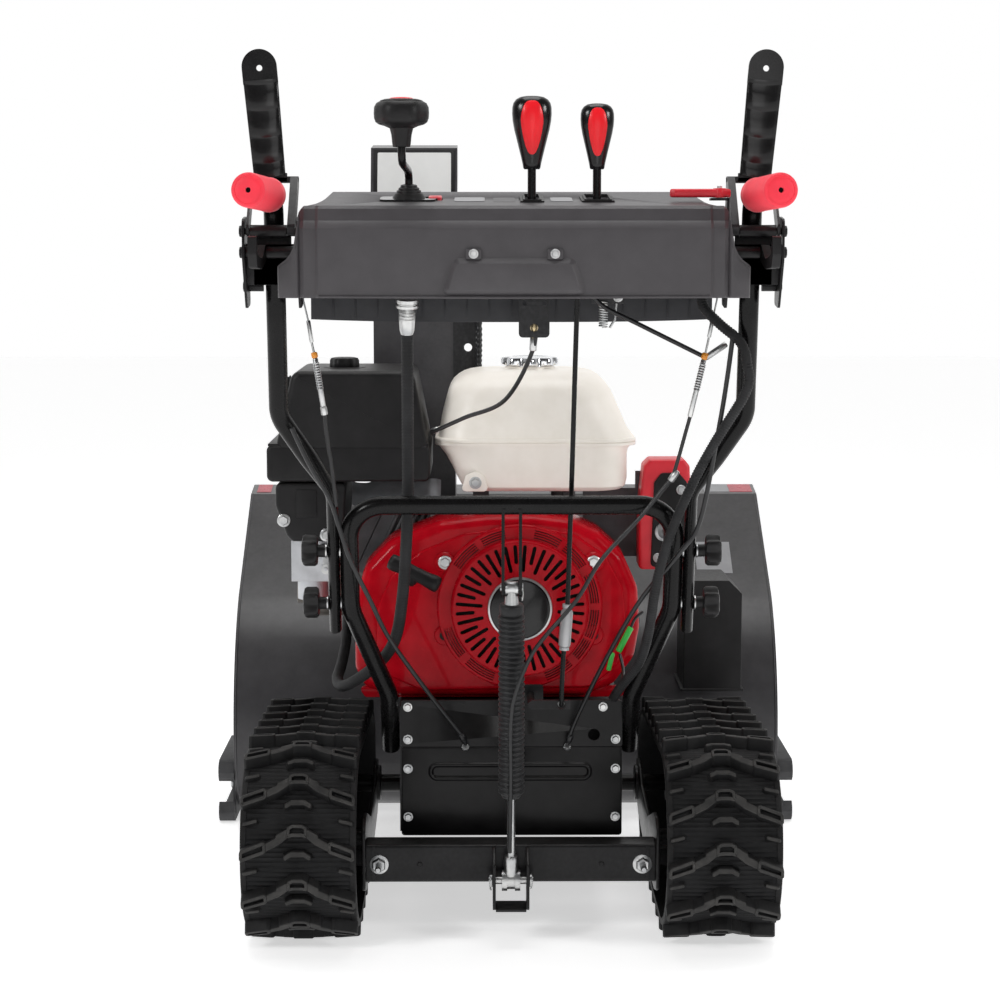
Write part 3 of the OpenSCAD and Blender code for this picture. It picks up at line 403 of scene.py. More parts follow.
    def hexbolt(s, p, d, r=6.5, h=5.0, m=0, washer=True, stud=0.0):
        """hexagon head at p standing out along d, with its washer"""
        p, d = V(p), V(d).normalized()
        u = V((0, 0, 1)) if abs(d.z) < 0.9 else V((1, 0, 0))
        u = (u - u.dot(d) * d).normalized()
        w = d.cross(u)
        if washer:
            s.lathe([(r * 1.45, 0), (r * 1.5, 0.3), (r * 1.5, 1.1), (r * 1.4, 1.5)], p, d, 24, m)
            p = p + d * 1.4
        rings = []
        for q, z in ((0.97, 0), (1, 0.3), (1, h * 0.72), (0.86, h)):
            rings.append([p + d * z + (u * math.cos(math.pi / 3 * j) + w * math.sin(math.pi / 3 * j)) * r * 1.12 * q for j in range(6)])
        s.loft(rings, m)
        if stud:
            s.lathe([(r * 0.5, 0), (r * 0.5, h + stud - 1), (r * 0.38, h + stud)], p, d, 16, m)
        return s

    def mirror(s, k0=0):
        """adds the mirror image in X of everything from vertex/face index k0 = (v, f)"""
        v0, f0 = (0, 0) if not k0 else k0
        vs = [(-v[0], v[1], v[2]) for v in s.v[v0:]]
        off = len(s.v) - v0
        fs = [tuple(reversed([i + off for i in f])) for f in s.f[f0:]]
        s.v += vs
        s.m += s.m[f0:f0 + len(fs)]
        s.f += fs
        return s

    def move(s, mtx, k0=(0, 0)):
        for i in range(k0[0], len(s.v)):
            s.v[i] = tuple(mtx @ V(s.v[i]))
        return s

    def at(s):
        return (len(s.v), len(s.f))

    def make(s, name, body, mats, repl=(), ang=38, bevel=0.0, seg=2, sub=0, solid=0.0, merge=0.0):
        me = bpy.data.meshes.new(name)
        me.from_pydata([W(v) for v in s.v], [], s.f)
        for k in mats:
            me.materials.append(M[k])
        me.polygons.foreach_set("material_index", s.m)
        me.update()
        bm = bmesh.new()
        bm.from_mesh(me)
        if merge:
            bmesh.ops.remove_doubles(bm, verts=bm.verts, dist=merge / 1000)
        bmesh.ops.recalc_face_normals(bm, faces=bm.faces)
        bm.to_mesh(me)
        bm.free()
        me.polygons.foreach_set("use_smooth", [True] * len(me.polygons))
        me.set_sharp_from_angle(angle=math.radians(ang))
        o = bpy.data.objects.new(name, me)
        bpy.context.scene.collection.objects.link(o)
        if bevel:
            b = o.modifiers.new("bevel", "BEVEL")
            b.width = bevel / 1000
            b.segments = seg
            b.limit_method = "ANGLE"
            b.angle_limit = math.radians(32)
            b.harden_normals = True
        if sub:
            sd = o.modifiers.new("sub", "SUBSURF")
            sd.levels = sub
            sd.render_levels = sub
        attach(o, body)
        if repl:
            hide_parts(*repl)
        return o


UX, UY, UZ = V((1, 0, 0)), V((0, 1, 0)), V((0, 0, 1))


# ------------------------------------------------------------------ more helpers
from mathutils.geometry import tessellate_polygon


def plate(mb, outer, holes, o, ux, uy, h0, h1, m=0, msides=None):
    """a flat plate with holes; outlines in the plane (ux, uy), thickness from h0 to h1 along ux x uy"""
    o, ux, uy = V(o), V(ux), V(uy)
    n = ux.cross(uy)
    loops = [list(outer)] + [list(h) for h in holes]
    tris = tessellate_polygon([[V((p[0], p[1], 0)) for p in L] for L in loops])
    flat = [p for L in loops for p in L]
    k = len(flat)
    vs = [o + ux * p[0] + uy * p[1] + n * h0 for p in flat] + [o + ux * p[0] + uy * p[1] + n * h1 for p in flat]
    fs = [tuple(t) for t in tris] + [tuple(i + k for i in reversed(t)) for t in tris]
    b = 0
    for L in loops:
        c = len(L)
        fs += [(b + j, b + (j + 1) % c, b + (j + 1) % c + k, b + j + k) for j in range(c)]
        b += c
    mb.add(vs, fs, m)
    return mb


def circ(c, r, n=32):
    return [(c[0] + r * math.cos(2 * math.pi * i / n), c[1] + r * math.sin(2 * math.pi * i / n)) for i in range(n)]


def slot_poly(c, ang, r0, r1, w):
    """rounded radial slot"""
    ca, sa = math.cos(ang), math.sin(ang)
    P = []
    for a in range(-90, 91, 30):
        P.append((r1 - w / 2 + w / 2 * math.cos(math.radians(a)), w / 2 * math.sin(math.radians(a))))
    for a in range(90, 271, 30):
        P.append((r0 + w / 2 + w / 2 * math.cos(math.radians(a)), w / 2 * math.sin(math.radians(a))))
    return [(c[0] + x * ca - y * sa, c[1] + x * sa + y * ca) for x, y in P]


def arc_slot(c, a0, a1, r, w, n=8):
    A = [math.radians(a0 + (a1 - a0) * i / n) for i in range(n + 1)]
    return ([(c[0] + (r + w / 2) * math.cos(a), c[1] + (r + w / 2) * math.sin(a)) for a in A] +
            [(c[0] + (r - w / 2) * math.cos(a), c[1] + (r - w / 2) * math.sin(a)) for a in reversed(A)])


M["rubtop"] = mat("lug_top_rubber_m", (0.018, 0.0175, 0.017), 0.66, spec=0.35, var=0.25, bump=0.5, bscale=800, bdist=0.0006, wear=0.6, wear_col=(0.09, 0.088, 0.085), second=(0.036, 0.034, 0.032), vscale=60)

# ------------------------------------------------------------------ tracks
AX, IDL, R1, R2 = (317.5, 126.0), (0.0, 134.0), 113.0, 105.0
TB = 2 * math.degrees(math.asin((R1 - R2) / (AX[0] - IDL[0])))
LR = R1 * math.radians(180 + TB)
LF = R2 * math.radians(180 - TB)
LS = (AX[0] - IDL[0]) * math.cos(math.radians(TB / 2))
LT = LR + LF + 2 * LS


def trk(s, d):
    q = s % LT
    if q < LR:
        a = math.radians(90 - TB + math.degrees(q / R1))
        return (IDL[0] + (R1 + d) * math.cos(a), IDL[1] + (R1 + d) * math.sin(a))
    if q < LR + LS:
        return (q - LR, IDL[1] - R1 - d)
    if q < LR + LS + LF:
        a = math.radians(270 + math.degrees((q - LR - LS) / R2))
        return (AX[0] + (R2 + d) * math.cos(a), AX[1] + (R2 + d) * math.sin(a))
    u = (q - LR - LS - LF) / LS
    a = math.radians(90 - TB)
    return (AX[0] + (R2 + d) * math.cos(a) - u * LS * math.cos(math.radians(TB)), AX[1] + (R2 + d) * math.sin(a) + u * LS * math.sin(math.radians(TB)))


def lug_block(mb, P, s0, x0, dtop, d0=4.4, flare=1.6, pocket=0.0, depth=4.5):
    P = round2(P, 1.6, 2)
    n = len(P)
    rings = [(inset(P, -flare), d0), (inset(P, -0.4), dtop - 1.6), (P, dtop - 0.8), (inset(P, 0.9), dtop)]
    vs, fs, ms = [], [], []
    if pocket:
        rings += [(inset(P, pocket), dtop), (inset(P, pocket + 0.8), dtop - depth)]
    for Q, d in rings:
        for x, t in Q:
            x = max(-73.8, min(73.8, x))
            y, z = trk(s0 + t, d)
            vs.append((x0 + x, y, z))
    for i in range(len(rings) - 1):
        for j in range(n):
            fs.append((i * n + j, i * n + (j + 1) % n, (i + 1) * n + (j + 1) % n, (i + 1) * n + j))
            ms.append(1 if i in (2, 3) else 0)
    fs.append(tuple((len(rings) - 1) * n + j for j in range(n)))
    ms.append(0 if pocket else 1)
    o = len(mb.v)
    mb.v += vs
    mb.f += [tuple(i + o for i in f) for f in fs]
    mb.m += ms


def track(side, s_apex):
    x0 = 273.0 * side
    mb = MB()
    # belt: flat borders, fine cross ribs between the lugs
    prof = [(-73.9, -4.5), (-74, 3.6), (-72.8, 5), (-66.5, 5), (-66, 3.9), (-50, 3.9), (-25, 3.9), (0, 3.9), (25, 3.9), (50, 3.9), (66, 3.9), (66.5, 5), (72.8, 5), (74, 3.6), (73.9, -4.5), (66, -4.6), (-66, -4.6)]
    ns = 660
    rings = []
    for i in range(ns):
        s = LT * i / ns
        rib = 1.0 if (i % 3) == 0 else 0.0
        ring = []
        for x, d in prof:
            if d == 3.9:
                d = 3.7 + 1.0 * rib
            y, z = trk(s, d)
            ring.append((x0 + x, y, z))
        rings.append(ring)
    mb.loft(rings, 0, closed=True)
    for i in range(22):
        s0 = s_apex + i * LT / 22
        lug_block(mb, [(-13, 12.5), (-12.6, 1), (-6.5, -2), (6.5, -2), (12.6, 1), (13, 12.5), (6, 11), (-6, 11)], s0, x0, 21, pocket=3.6)
        for q in (1, -1):
            A = [(11.8, 2.2), (26.5, 9.5), (27.2, 12.6), (41, 19), (41, 27.5), (24, 20.5), (12.2, 12.3)]
            B = [(40, 18), (44, 16.8), (71, 25.5), (73, 29), (73, 36), (70, 38), (42, 29.5), (39.5, 27)]
            C = [(2.5, 28), (8, 28.3), (17, 33), (17, 39), (8, 34.6), (2.5, 34)]
            lug_block(mb, [(x * q, t) for x, t in A], s0, x0, 19.6)
            lug_block(mb, [(x * q, t) for x, t in B], s0, x0, 21, pocket=3.7)
        lug_block(mb, [(-17, 33), (-8, 28), (8, 28), (17, 33), (17, 39), (8, 34.5), (-8, 34.5), (-17, 39)], s0, x0, 13.5)
        # short bar on the border between two lugs
        for q in (1, -1):
            lug_block(mb, [(q * 52, 50), (q * 70, 54), (q * 70, 58.5), (q * 52, 54.5)], s0, x0, 9.5)
    name = "track_left" if side < 0 else "track_right"
    mb.make(name + "_belt", BODY[name], ["rubber", "rubtop"], [name], ang=30)


track(-1, 23)
track(1, -16)

# ------------------------------------------------------------------ undercarriage frame
mb = MB()
mb.xbox(round2([(-22, 76), (22, 76), (22, 127), (-22, 127)], 5, 4), -190.8, 190.8)
sp = [(-40, 70), (-40, 150), (-14, 162), (20, 160), (120, 128), (250, 138), (290, 158), (345, 158), (352, 110), (300, 84), (120, 62), (0, 60)]
for q in (-1, 1):
    mb.xbox(round2(sp, 12, 4), min(q * 191, q * 196), max(q * 191, q * 196), ch=1)
    mb.tube([(q * 196, IDL[0], IDL[1]), (q * 326, IDL[0], IDL[1])], 8, 20)
    mb.lathe([(13.6, 0), (14, 0.6), (14, 3.2), (12.8, 4)], (q * 326, IDL[0], IDL[1]), (q, 0, 0), 24, 1)
    mb.hexbolt((q * 326.4, IDL[0], IDL[1]), (q, 0, 0), 8.5, 3, 1, washer=False)
    a, b = sorted((q * 232, q * 312))
    mb.xbox(round2([(86, 30), (92, 28), (230, 28), (236, 30), (236, 56), (86, 56)], 3, 3), a, b, ch=3)
    a, b = sorted((q * 196, q * 240))
    mb.box((a, 112, 60), (b, 132, 84), ch=2)
    mb.box((a, 196, 60), (b, 216, 84), ch=2)
    a, b = sorted((q * 232, q * 244))
    mb.box((a, 106, 56), (b, 220, 84), ch=2)
    # bearing boss of the axle and the adjuster screw with its nut
    mb.lathe([(26, 0), (26, 4.5), (24, 5.5), (14, 5.5)], (q * 191.5, AX[0], AX[1]), (-q, 0, 0), 32, 0)
    mb.tube([(q * 174, -20, 101), (q * 174, -46, 101)], 4.2, 16, 1)
    mb.hexbolt((q * 174, -22, 101), (0, -1, 0), 8.6, 7, 1)
    mb.lathe([(3.9, 0), (4.1, 1), (3.0, 5.5)], (q * 174, -46, 101), (0, -1, 0), 16, 1)
    # shade gap of the beam's end flange
    mb.box((q * 181 - 2, -23.2, 78), (q * 181 + 2, -21.5, 125), 0, ch=0.5)
    mb.hexbolt((q * 120, -22, 101), (0, -1, 0), 3.2, 2, 0, washer=False)
# clevis with its cross pin
for q in (-1, 1):
    a, b = sorted((q * 20, q * 24))
    mb.xbox(round2([(-62, 50), (-40, 48), (-22, 48), (-22, 127), (-34, 127), (-62, 110)], 5, 3), a, b, ch=0.8)
    mb.lathe([(8.2, 0), (8.8, 0.8), (8.8, 3), (8.0, 3.8)], (q * 24, -45, 86), (q, 0, 0), 24, 1)
mb.box((-20, -62, 48), (20, -22, 51.5), ch=0.6)
mb.tube([(-29, -45, 86), (29, -45, 86)], 5, 20, 1)
mb.tube([(-27.4, -45, 93), (-27.4, -45, 77), (-26.4, -47, 73)], 1.1, 8, 1)
mb.tube([(27.4, -45, 92), (27.4, -45, 79), (26.4, -47, 75)], 1.1, 8, 1)
mb.make("undercarriage_frame", BODY["track_frame"], ["frame", "steel"], ["track_frame"], bevel=0.8)

# ------------------------------------------------------------------ strut
TOP, PIN = V((0, -92, 481)), V((0, -45, 86))
SD = (TOP - PIN)
L0 = SD.length
SD.normalize()
mb = MB()
prof = [(7, 116), (11.5, 116.5), (12.6, 118), (13.4, 120.5)]
d = 121.5
while d < 361:
    prof += [(13.6, d), (15.9, d + 1.5), (17.0, d + 2.7), (17.2, d + 3.5), (17.0, d + 4.3), (15.9, d + 5.5), (13.6, d + 6.85)]
    d += 6.9
prof += [(15.0, 363.5), (15.6, 366), (15.6, 374), (14.4, 376.5), (10.5, 377.2)]
mb.lathe(prof, PIN, SD, 36, 0)
mb.lathe([(9.6, 376), (9.4, 377), (7.8, 393), (6.6, 396.5)], PIN, SD, 28, 1)
mb.lathe([(8.0, -8.8), (8.6, -8), (8.6, 8), (8.0, 8.8)], TOP, (1, 0, 0), 24, 1)
mb.tube([(-14.5, -92, 481), (14.5, -92, 481)], 4, 16, 1)
mb.tube([(13.8, -92, 487), (14.2, -93, 470), (13.4, -97, 466), (14.2, -95, 474)], 0.9, 8, 1)
mb.make("strut_bellows", BODY["strut_barrel"], ["bellows", "steel"], ["strut_barrel"], ang=60)
mb = MB()
mb.lathe([(5.5, 18), (5.5, 300)], PIN, SD, 24, 0)
mb.lathe([(9.5, 8), (9.9, 10), (9.9, 30), (8.6, 34), (5.6, 35)], PIN, SD, 24, 0)
# fork ends round the pin, seen from behind as two bright cheeks
for q in (-1, 1):
    plate(mb, circ((0, 0), 13.8, 36), [circ((0, 0), 7.1, 24)], (q * 8.5, -45, 86), (0, 1, 0), (0, 0, 1), -3.5, 3.5, 0)
plate(mb, circ((0, 0), 11.5, 36), [circ((0, 0), 7.1, 24)], (0, -45, 86), (0, 1, 0), (0, 0, 1), -5, 5, 0)
mb.make("strut_rod_end", BODY["strut_rod"], ["steel"], ["strut_rod"], bevel=0.5)

# ------------------------------------------------------------------ rear covers of the tractor frame (their fasteners are made further down, with the dashboard's bolts)
mb = MB()
plate(mb, round2([(-146, 246), (150, 246), (150, 309), (44, 309), (44, 330), (12, 330), (12, 309), (-146, 309)], [3, 3, 5, 2, 4, 4, 2, 5], 3),
      [circ((27, 315), 5.1, 20), circ((112, 262), 8, 24)], (0, 0, 0), (1, 0, 0), (0, 0, 1), -39.7, -36)
mb.tube([(-145, 36.9, 308), (-60, 36.4, 306)], 1.2, 8)
mb.make("rear_cover_up", ROOT, ["frame"], ["rear_cover_upper"], bevel=0.7)
mb = MB()
mb.ybox(round2([(-146, 124), (150, 124), (150, 245.5), (-146, 245.5)], 4, 3), 36, 39.7, ch=0.8)
G = rrect(-108, 201, 108, 223, 10.5, 6)
n = len(G)
rings = []
for dd, yy in ((-2.2, 36.2), (-0.4, 33.0), (0.8, 32.1), (2.6, 32.1), (4.0, 33.2), (5.2, 35.4)):
    rings.append([(p[0], yy, p[1]) for p in inset(G, dd)])
mb.loft(rings, 0)
mb.make("rear_cover_low", ROOT, ["frame"], ["rear_cover_lower"], bevel=0.4, ang=45)


# ------------------------------------------------------------------ engine: fan cover and recoil starter
CR = (13.0, 431.0)
FO = [(-150, 306), (-196, 318), (-209, 345), (-209, 430), (-196, 482), (-160, 520), (-95, 545), (-30, 553), (30, 554), (80, 548), (120, 530), (152, 500), (172, 455), (175, 400), (168, 360), (140, 322), (100, 306)]
mb = MB()
FO2 = round2(FO, [16, 20, 24, 30, 30, 40, 40, 40, 40, 40, 34, 34, 34, 34, 26, 26, 16], 6)
mb.ybox(FO2, 70, 164.5, ch=15, both=False, chn=6)
# raised steps following the outline
S1 = round2([(-120, 316), (-168, 338), (-180, 372), (-178, 430), (-160, 472), (-120, 506), (-60, 530), (20, 540), (84, 530), (128, 500), (152, 455), (157, 400), (146, 352), (110, 320)], 26, 5)
mb.ybox(S1, 66.6, 74, ch=3.2, both=False, chn=4)
# screw bosses
for x, z in ((-86, 491), (116, 491), (122, 552 - 0)):
    pass
for x, z in ((-87, 491), (112, 491), (119.5, 553.0 - 3), (-88, 392), (112, 392)):
    if z < 540:
        mb.lathe([(14, 0), (14, 5), (12.5, 7), (7.5, 7.6)], (x, 70, z), (0, -1, 0), 28, 0)
for x, z in ((-87, 491), (112, 491)):
    mb.hexbolt((x, 63, z), (0, -1, 0), 6.2, 3.4, 1)
# painted shade: near-black discs on the two bosses without screws stand in for the shade in their holes
for x, z in ((-88, 392), (112, 392)):
    mb.lathe([(6.6, 0), (6.6, 0.6)], (x, 62.2, z), (0, -1, 0), 20, 2)
# seam flange along the foot
mb.ybox(round2([(-196, 303), (150, 303), (168, 318), (-206, 318)], 5, 3), 84, 96, ch=2)
mb.make("fan_shroud", ROOT, ["red", "steel", "painted_shade_fill"], ["fan_cover"], ang=32)

mb = MB()
O = (CR[0], 0, CR[1])
ring = [(92.5, -66), (111, -66), (111, -61.5), (110, -59.2), (108, -58.2)]
# outer ring face carries the thin concentric louvres
lou = []
for a0, a1 in ((101, 120), (125, 147), (58, 79), (33, 54), (3, 26), (-24, -2), (196, 220), (226, 250), (290, 312), (318, 334)):
    for r in (95.8, 99.0, 102.2, 105.4):
        lou.append(arc_slot(CR, a0, a1, r, 1.5))
plate(mb, circ(CR, 108.4, 120), lou + [circ(CR, 91.5, 120)], (0, 0, 0), (1, 0, 0), (0, 0, 1), 55.6 - 116, 58.4 - 116 + 0.2, 0)
mb.v[-0:]  # keep
mb.lathe([(111, -69.7), (111, -61.4), (110.2, -59.4), (108.2, -57.9), (107, -60), (107, -66)], O, (0, 1, 0), 120, 0, cap0=False, cap1=False) if False else None
mb.lathe([(107.5, 58.4), (109.8, 59.2), (111, 61.4), (111, 69.7), (104, 69.7)], O, (0, 1, 0), 120, 0, cap0=False, cap1=False)
# domed fan grille
prof = [(92.5, 58.4), (92.3, 50), (91.6, 47), (90.2, 45.0), (88.6, 44.4)]
mb.lathe(prof, O, (0, 1, 0), 120, 0, cap0=False, cap1=False)
sl = []
for i in range(40):
    a = math.radians(i * 9 + 4.5)
    r0 = 60.6 if i % 2 == 0 else 49.8
    sl.append(slot_poly(CR, a, r0, 86.2, 5.0))
plate(mb, circ(CR, 88.8, 120), sl + [circ(CR, 38.5, 60)], (0, 0, 0), (1, 0, 0), (0, 0, 1), -47.6, -44.4, 0)
mb.lathe([(88.8, 44.4), (88.8, 47.6)], O, (0, 1, 0), 120, 0, cap0=False, cap1=False)
mb.lathe([(43.5, 44.6), (42.6, 42.6), (40.2, 41.8), (39.8, 44.6)], O, (0, 1, 0), 72, 3, cap0=False, cap1=False)
mb.lathe([(39.9, 46), (39.9, 42.2), (39.0, 41.0), (37.2, 40.4), (0.5, 40.2)], O, (0, 1, 0), 72, 1, cap0=True, cap1=True)
# painted shade: near-black sheet behind the louvres and slots stands in for the shade inside the cover
mb.lathe([(106.5, 64.5), (0.5, 64.5)], O, (0, 1, 0), 48, 2, cap0=False, cap1=True)
# hub behind the slots, also in the painted-shade black
mb.lathe([(34, 47.8), (34, 63)], O, (0, 1, 0), 40, 2, cap0=False, cap1=False)
for i in range(3):
    a = math.radians(90 + 120 * i)
mb.make("recoil_cover", ROOT, ["red", "blackgl", "painted_shade_fill", "steel"], ["recoil_starter"], ang=30, bevel=0.0)

# T handle of the recoil rope
mb = MB()
A, B = V((-160, 34, 498)), V((-94, 22, 466))
D = (B - A)
Lh = D.length
D.normalize()
mb.lathe([(6.5, 0), (9.5, 1), (10.8, 3.5), (11, 8), (9.6, 20), (9.3, Lh / 2), (9.6, Lh - 20), (11, Lh - 8), (10.8, Lh - 3.5), (9.5, Lh - 1), (6.5, Lh)], A, D, 28, 0)
mid = (A + B) / 2
nd = V((0, 0.38, -0.925)).normalized()
nd = (nd - nd.dot(D) * D).normalized()
mb.lathe([(9, 2), (8.6, 10), (6.8, 16), (5.2, 19)], mid, nd, 24, 0)
mb.make("recoil_grip", BODY["recoil_handle"], ["black"], ["recoil_handle"], ang=50)

# ------------------------------------------------------------------ fuel tank and cap
mb = MB()
LV = [(578.3, -48, 144, 138, 352, 30), (580, -58, 154, 128, 362, 38), (585, -65, 160, 122.5, 367.5, 42), (595, -70.5, 162, 121, 369, 44), (612, -78.5, 162, 121, 369, 44), (628, -87.5, 162, 121, 369, 44),
      (636, -94, 163.5, 121, 369, 44), (640.4, -97.5, 167, 121, 369, 44), (640.8, -101, 173, 120.4, 369.6, 44), (642, -102, 174, 120, 370, 44), (645.2, -102, 174, 120, 370, 44), (645.8, -100.8, 172.6, 121, 369, 44), (646.4, -102, 174, 120, 370, 44),
      (649.6, -102, 174, 120, 370, 44), (650.8, -101, 173, 120.6, 369.4, 44), (651.2, -97.5, 168.5, 123, 367, 44), (656, -96, 166, 124, 366, 44), (667, -94.5, 161, 126, 364, 46), (680, -92.5, 155.5, 128.5, 361.5, 48), (695, -88.5, 149, 131.5, 358.5, 50),
      (708, -85, 143.5, 134.5, 355.5, 50), (717, -81.5, 139, 138, 352, 50), (724, -77, 134, 143, 347, 48), (730, -70.5, 127.5, 150, 340, 45), (734.5, -63, 120, 158, 332, 40), (737.6, -54, 111, 168, 322, 34), (739.4, -44, 101, 178, 312, 28), (740, -30, 88, 190, 300, 20)]
mb.loft([[(p[0], p[1], z) for p in rrect(x0, y0, x1, y1, r, 9)] for z, x0, x1, y0, y1, r in LV], 0)
mb.lathe([(47, 737.5), (44, 739.6), (35, 740.6), (33.5, 743.9), (30, 744)], (30, 245, 0), (0, 0, 1), 48, 0)
# mounting lug with its screw at the near corner
mb.ybox(round2([(-66, 580), (-28, 580), (-34, 602), (-46, 608), (-60, 602)], 5, 3), 118.5, 123, 0, ch=1.5)
mb.hexbolt((-46.5, 118.8, 592), (0, -1, 0), 5.6, 3.5, 1)
# black fuel fitting under the tank
mb.lathe([(9, 0), (9, 10), (6, 12)], (66, 150, 577), (0, 0, -1), 20, 2)
mb.make("tank", ROOT, ["cream", "steel", "black"], ["fuel_tank"], ang=35)
mb = MB()
cp = [(31, 744.2, 0.0), (34.5, 744.6, 0.02), (36.5, 746.2, 0.085), (36.8, 752.5, 0.095), (35.4, 755.6, 0.09), (31.5, 756.9, 0.05), (24, 757.3, 0.0), (22, 755.9, 0), (6, 755.4, 0), (0.4, 755.4, 0)]
mb.lathe(cp, (30, 245, 0), (0, 0, 1), 128, 0, lobes=8)
for v in range(0):
    pass
mb.make("cap", BODY["fuel_cap"], ["bright"], ["fuel_cap"], ang=40)

# ------------------------------------------------------------------ air cleaner
mb = MB()
mb.ybox(round2([(-295, 737), (-287, 744), (-137, 744), (-128, 737), (-109, 636), (-318, 636)], [16, 14, 14, 16, 12, 12], 5), 112, 306, 0, ch=8, chn=5)
mb.ybox(round2([(-329, 594), (-329, 643.5), (-108, 643.5), (-108, 594)], [8, 7, 7, 8], 4), 112, 306, 0, ch=5, chn=4)
mb.box((-327, 114, 642.5), (-110, 304, 646), 0, ch=1)
# lower cover, sloping in at the left, with two screws
mb.ybox(round2([(-318, 592), (-222, 592), (-226, 519), (-232, 512), (-296, 512), (-303, 519), (-318, 560)], [8, 8, 8, 8, 8, 8, 16], 4), 118, 296, 0, ch=5, chn=4)
for x, z in ((-313, 541), (-255, 521)):
    mb.hexbolt((x + 6, 117.6, z), (0, -1, 0), 6.0, 4, 1)
mb.ybox(rrect(-290, 545, -262, 583, 2), 116.6, 120, 0, ch=0.6)
# shallow vertical ribs on the hood's sides
for i in range(6):
    y = 140 + i * 28
    mb.box((-311.5, y, 655), (-309, y + 4, 728), 0, ch=1)
# wing knob
kb = mb.at()
mb.lathe([(19, 744), (19.6, 746), (19.2, 754), (17.5, 757), (13, 758), (0.4, 758)], (-228, 205, 0), (0, 0, 1), 60, 0, lobes=6, amp=0.055)
mb.lathe([(30, 743.2), (29, 744.6), (20, 745)], (-228, 205, 0), (0, 0, 1), 48, 0, cap0=False, cap1=False)
mb.make("air_filter", ROOT, ["black", "steel"], ["air_cleaner"], ang=40)

# crumpled heat guard between the air cleaner and the tank
mb = MB()
nx, ny = 22, 7
g = []
for i in range(nx + 1):
    for j in range(ny + 1):
        x = -216 + 122 * i / nx
        t = j / ny
        w1 = noise.noise(V((x * 0.035, t * 3.2, 3.1))) * 7 + noise.noise(V((x * 0.11, t * 5, 1.7))) * 3
        g.append((x, 168 - 26 * t + w1 * 0.7, 590 - 30 * t - 3 * math.sin(i * 0.55) + w1 * (0.25 + 0.6 * t)))
fs = [(i * (ny + 1) + j, i * (ny + 1) + j + 1, (i + 1) * (ny + 1) + j + 1, (i + 1) * (ny + 1) + j) for i in range(nx) for j in range(ny)]
o = mb.add(g, fs, 0)
mb.make("heat_guard", ROOT, ["grey"], ang=80)

# ------------------------------------------------------------------ control box, key
mb = MB()
CB = [(178, 556), (186, 621), (247, 621), (250, 540), (248, 469), (178, 469)]
mb.ybox(round2([(178, 556), (184, 612), (193, 621), (240, 621), (247, 612), (250, 540), (248, 472), (244, 469), (178, 469)], 6, 4), 142, 196, 0, ch=4, chn=3)
mb.ybox(round2([(194, 473), (244, 473), (246, 540), (243, 590), (232, 603), (208, 603), (198, 590)], 6, 4), 138.2, 144, 1, ch=1.5)
mb.lathe([(13, 0), (12.6, 3), (9, 4.4), (8.2, 4.4)], (212, 138, 522), (0, -1, 0), 32, 2, cap1=False)
for x, z in ((235, 580), (204, 486)):
    mb.hexbolt((x, 138.4, z), (0, -1, 0), 4.5, 2.6, 2)
mb.tube(smooth([(196, 150, 600), (182, 120, 616), (176, 100, 610)], 6), 2.2, 8, 1) if False else None
mb.make("switch_box", ROOT, ["redplas", "black", "steel"], ["control_box"], ang=38)
mb = MB()
mb.xbox(round2([(106, 512), (118, 510), (120, 534), (106, 532)], 4, 3), 209.5, 214.5, 0, ch=1)
mb.lathe([(3.2, 104 + 14), (3.2, 145)], (212, 0, 522), (0, 1, 0), 16, 1)
mb.make("key", BODY["ignition_key"], ["black", "steel"], ["ignition_key"], ang=38)


# ------------------------------------------------------------------ refined copies of construction meshes
def refine(node, key, width=1.2, seg=2, ang=30, extra=None, name=None, mats=None, keep=True):
    """a welded, cleaned copy of a node's mesh with rounded edges"""
    src = NODE[node]
    me = bpy.data.meshes.new(name or (node + "_shape"))
    bm = bmesh.new()
    bm.from_mesh(src.data)
    bm.transform(src.matrix_world)
    bmesh.ops.remove_doubles(bm, verts=bm.verts, dist=0.00002)
    bmesh.ops.dissolve_limit(bm, angle_limit=math.radians(1.2), verts=bm.verts, edges=bm.edges)
    bm.to_mesh(me)
    bm.free()
    for k in [key] + list(mats or []):
        me.materials.append(M[k])
    me.polygons.foreach_set("material_index", [0] * len(me.polygons))
    me.polygons.foreach_set("use_smooth", [True] * len(me.polygons))
    me.set_sharp_from_angle(angle=math.radians(ang))
    o = bpy.data.objects.new(name or (node + "_shape"), me)
    bpy.context.scene.collection.objects.link(o)
    if width:
        b = o.modifiers.new("bevel", "BEVEL")
        b.width = width / 1000
        b.segments = seg
        b.limit_method = "ANGLE"
        b.angle_limit = math.radians(ang)
        b.harden_normals = True
        b.use_clamp_overlap = True
    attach(o, BODY[node])
    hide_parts(node)
    return o


# ------------------------------------------------------------------ dashboard
def dz(y):
    return 958 + (y + 290) * 22 / 205


def cap_z(x):
    x = abs(x)
    pts = [(0, 990), (208, 990), (213, 988), (222, 979), (230, 970), (239, 962), (245, 957.5), (249, 952), (250.5, 947), (252.5, 925), (254.5, 912), (259, 903), (264, 897), (268, 894), (272, 891), (274, 889)]
    for (a, p), (b, q) in zip(pts, pts[1:]):
        if x <= b:
            return p + (q - p) * (x - a) / (b - a)
    return 889


def rear_dy(x):
    x = abs(x)
    pts = [(0, 0), (224, 0), (226.5, 0.4), (229.6, 3.2), (243, 4.2), (244, 5.0), (248.5, 8.5), (251, 5.2), (253, 5.0), (270, 8.0), (272.5, 10), (274, 14)]
    for (a, p), (b, q) in zip(pts, pts[1:]):
        if x <= b:
            return p + (q - p) * (x - a) / (b - a)
    return 14


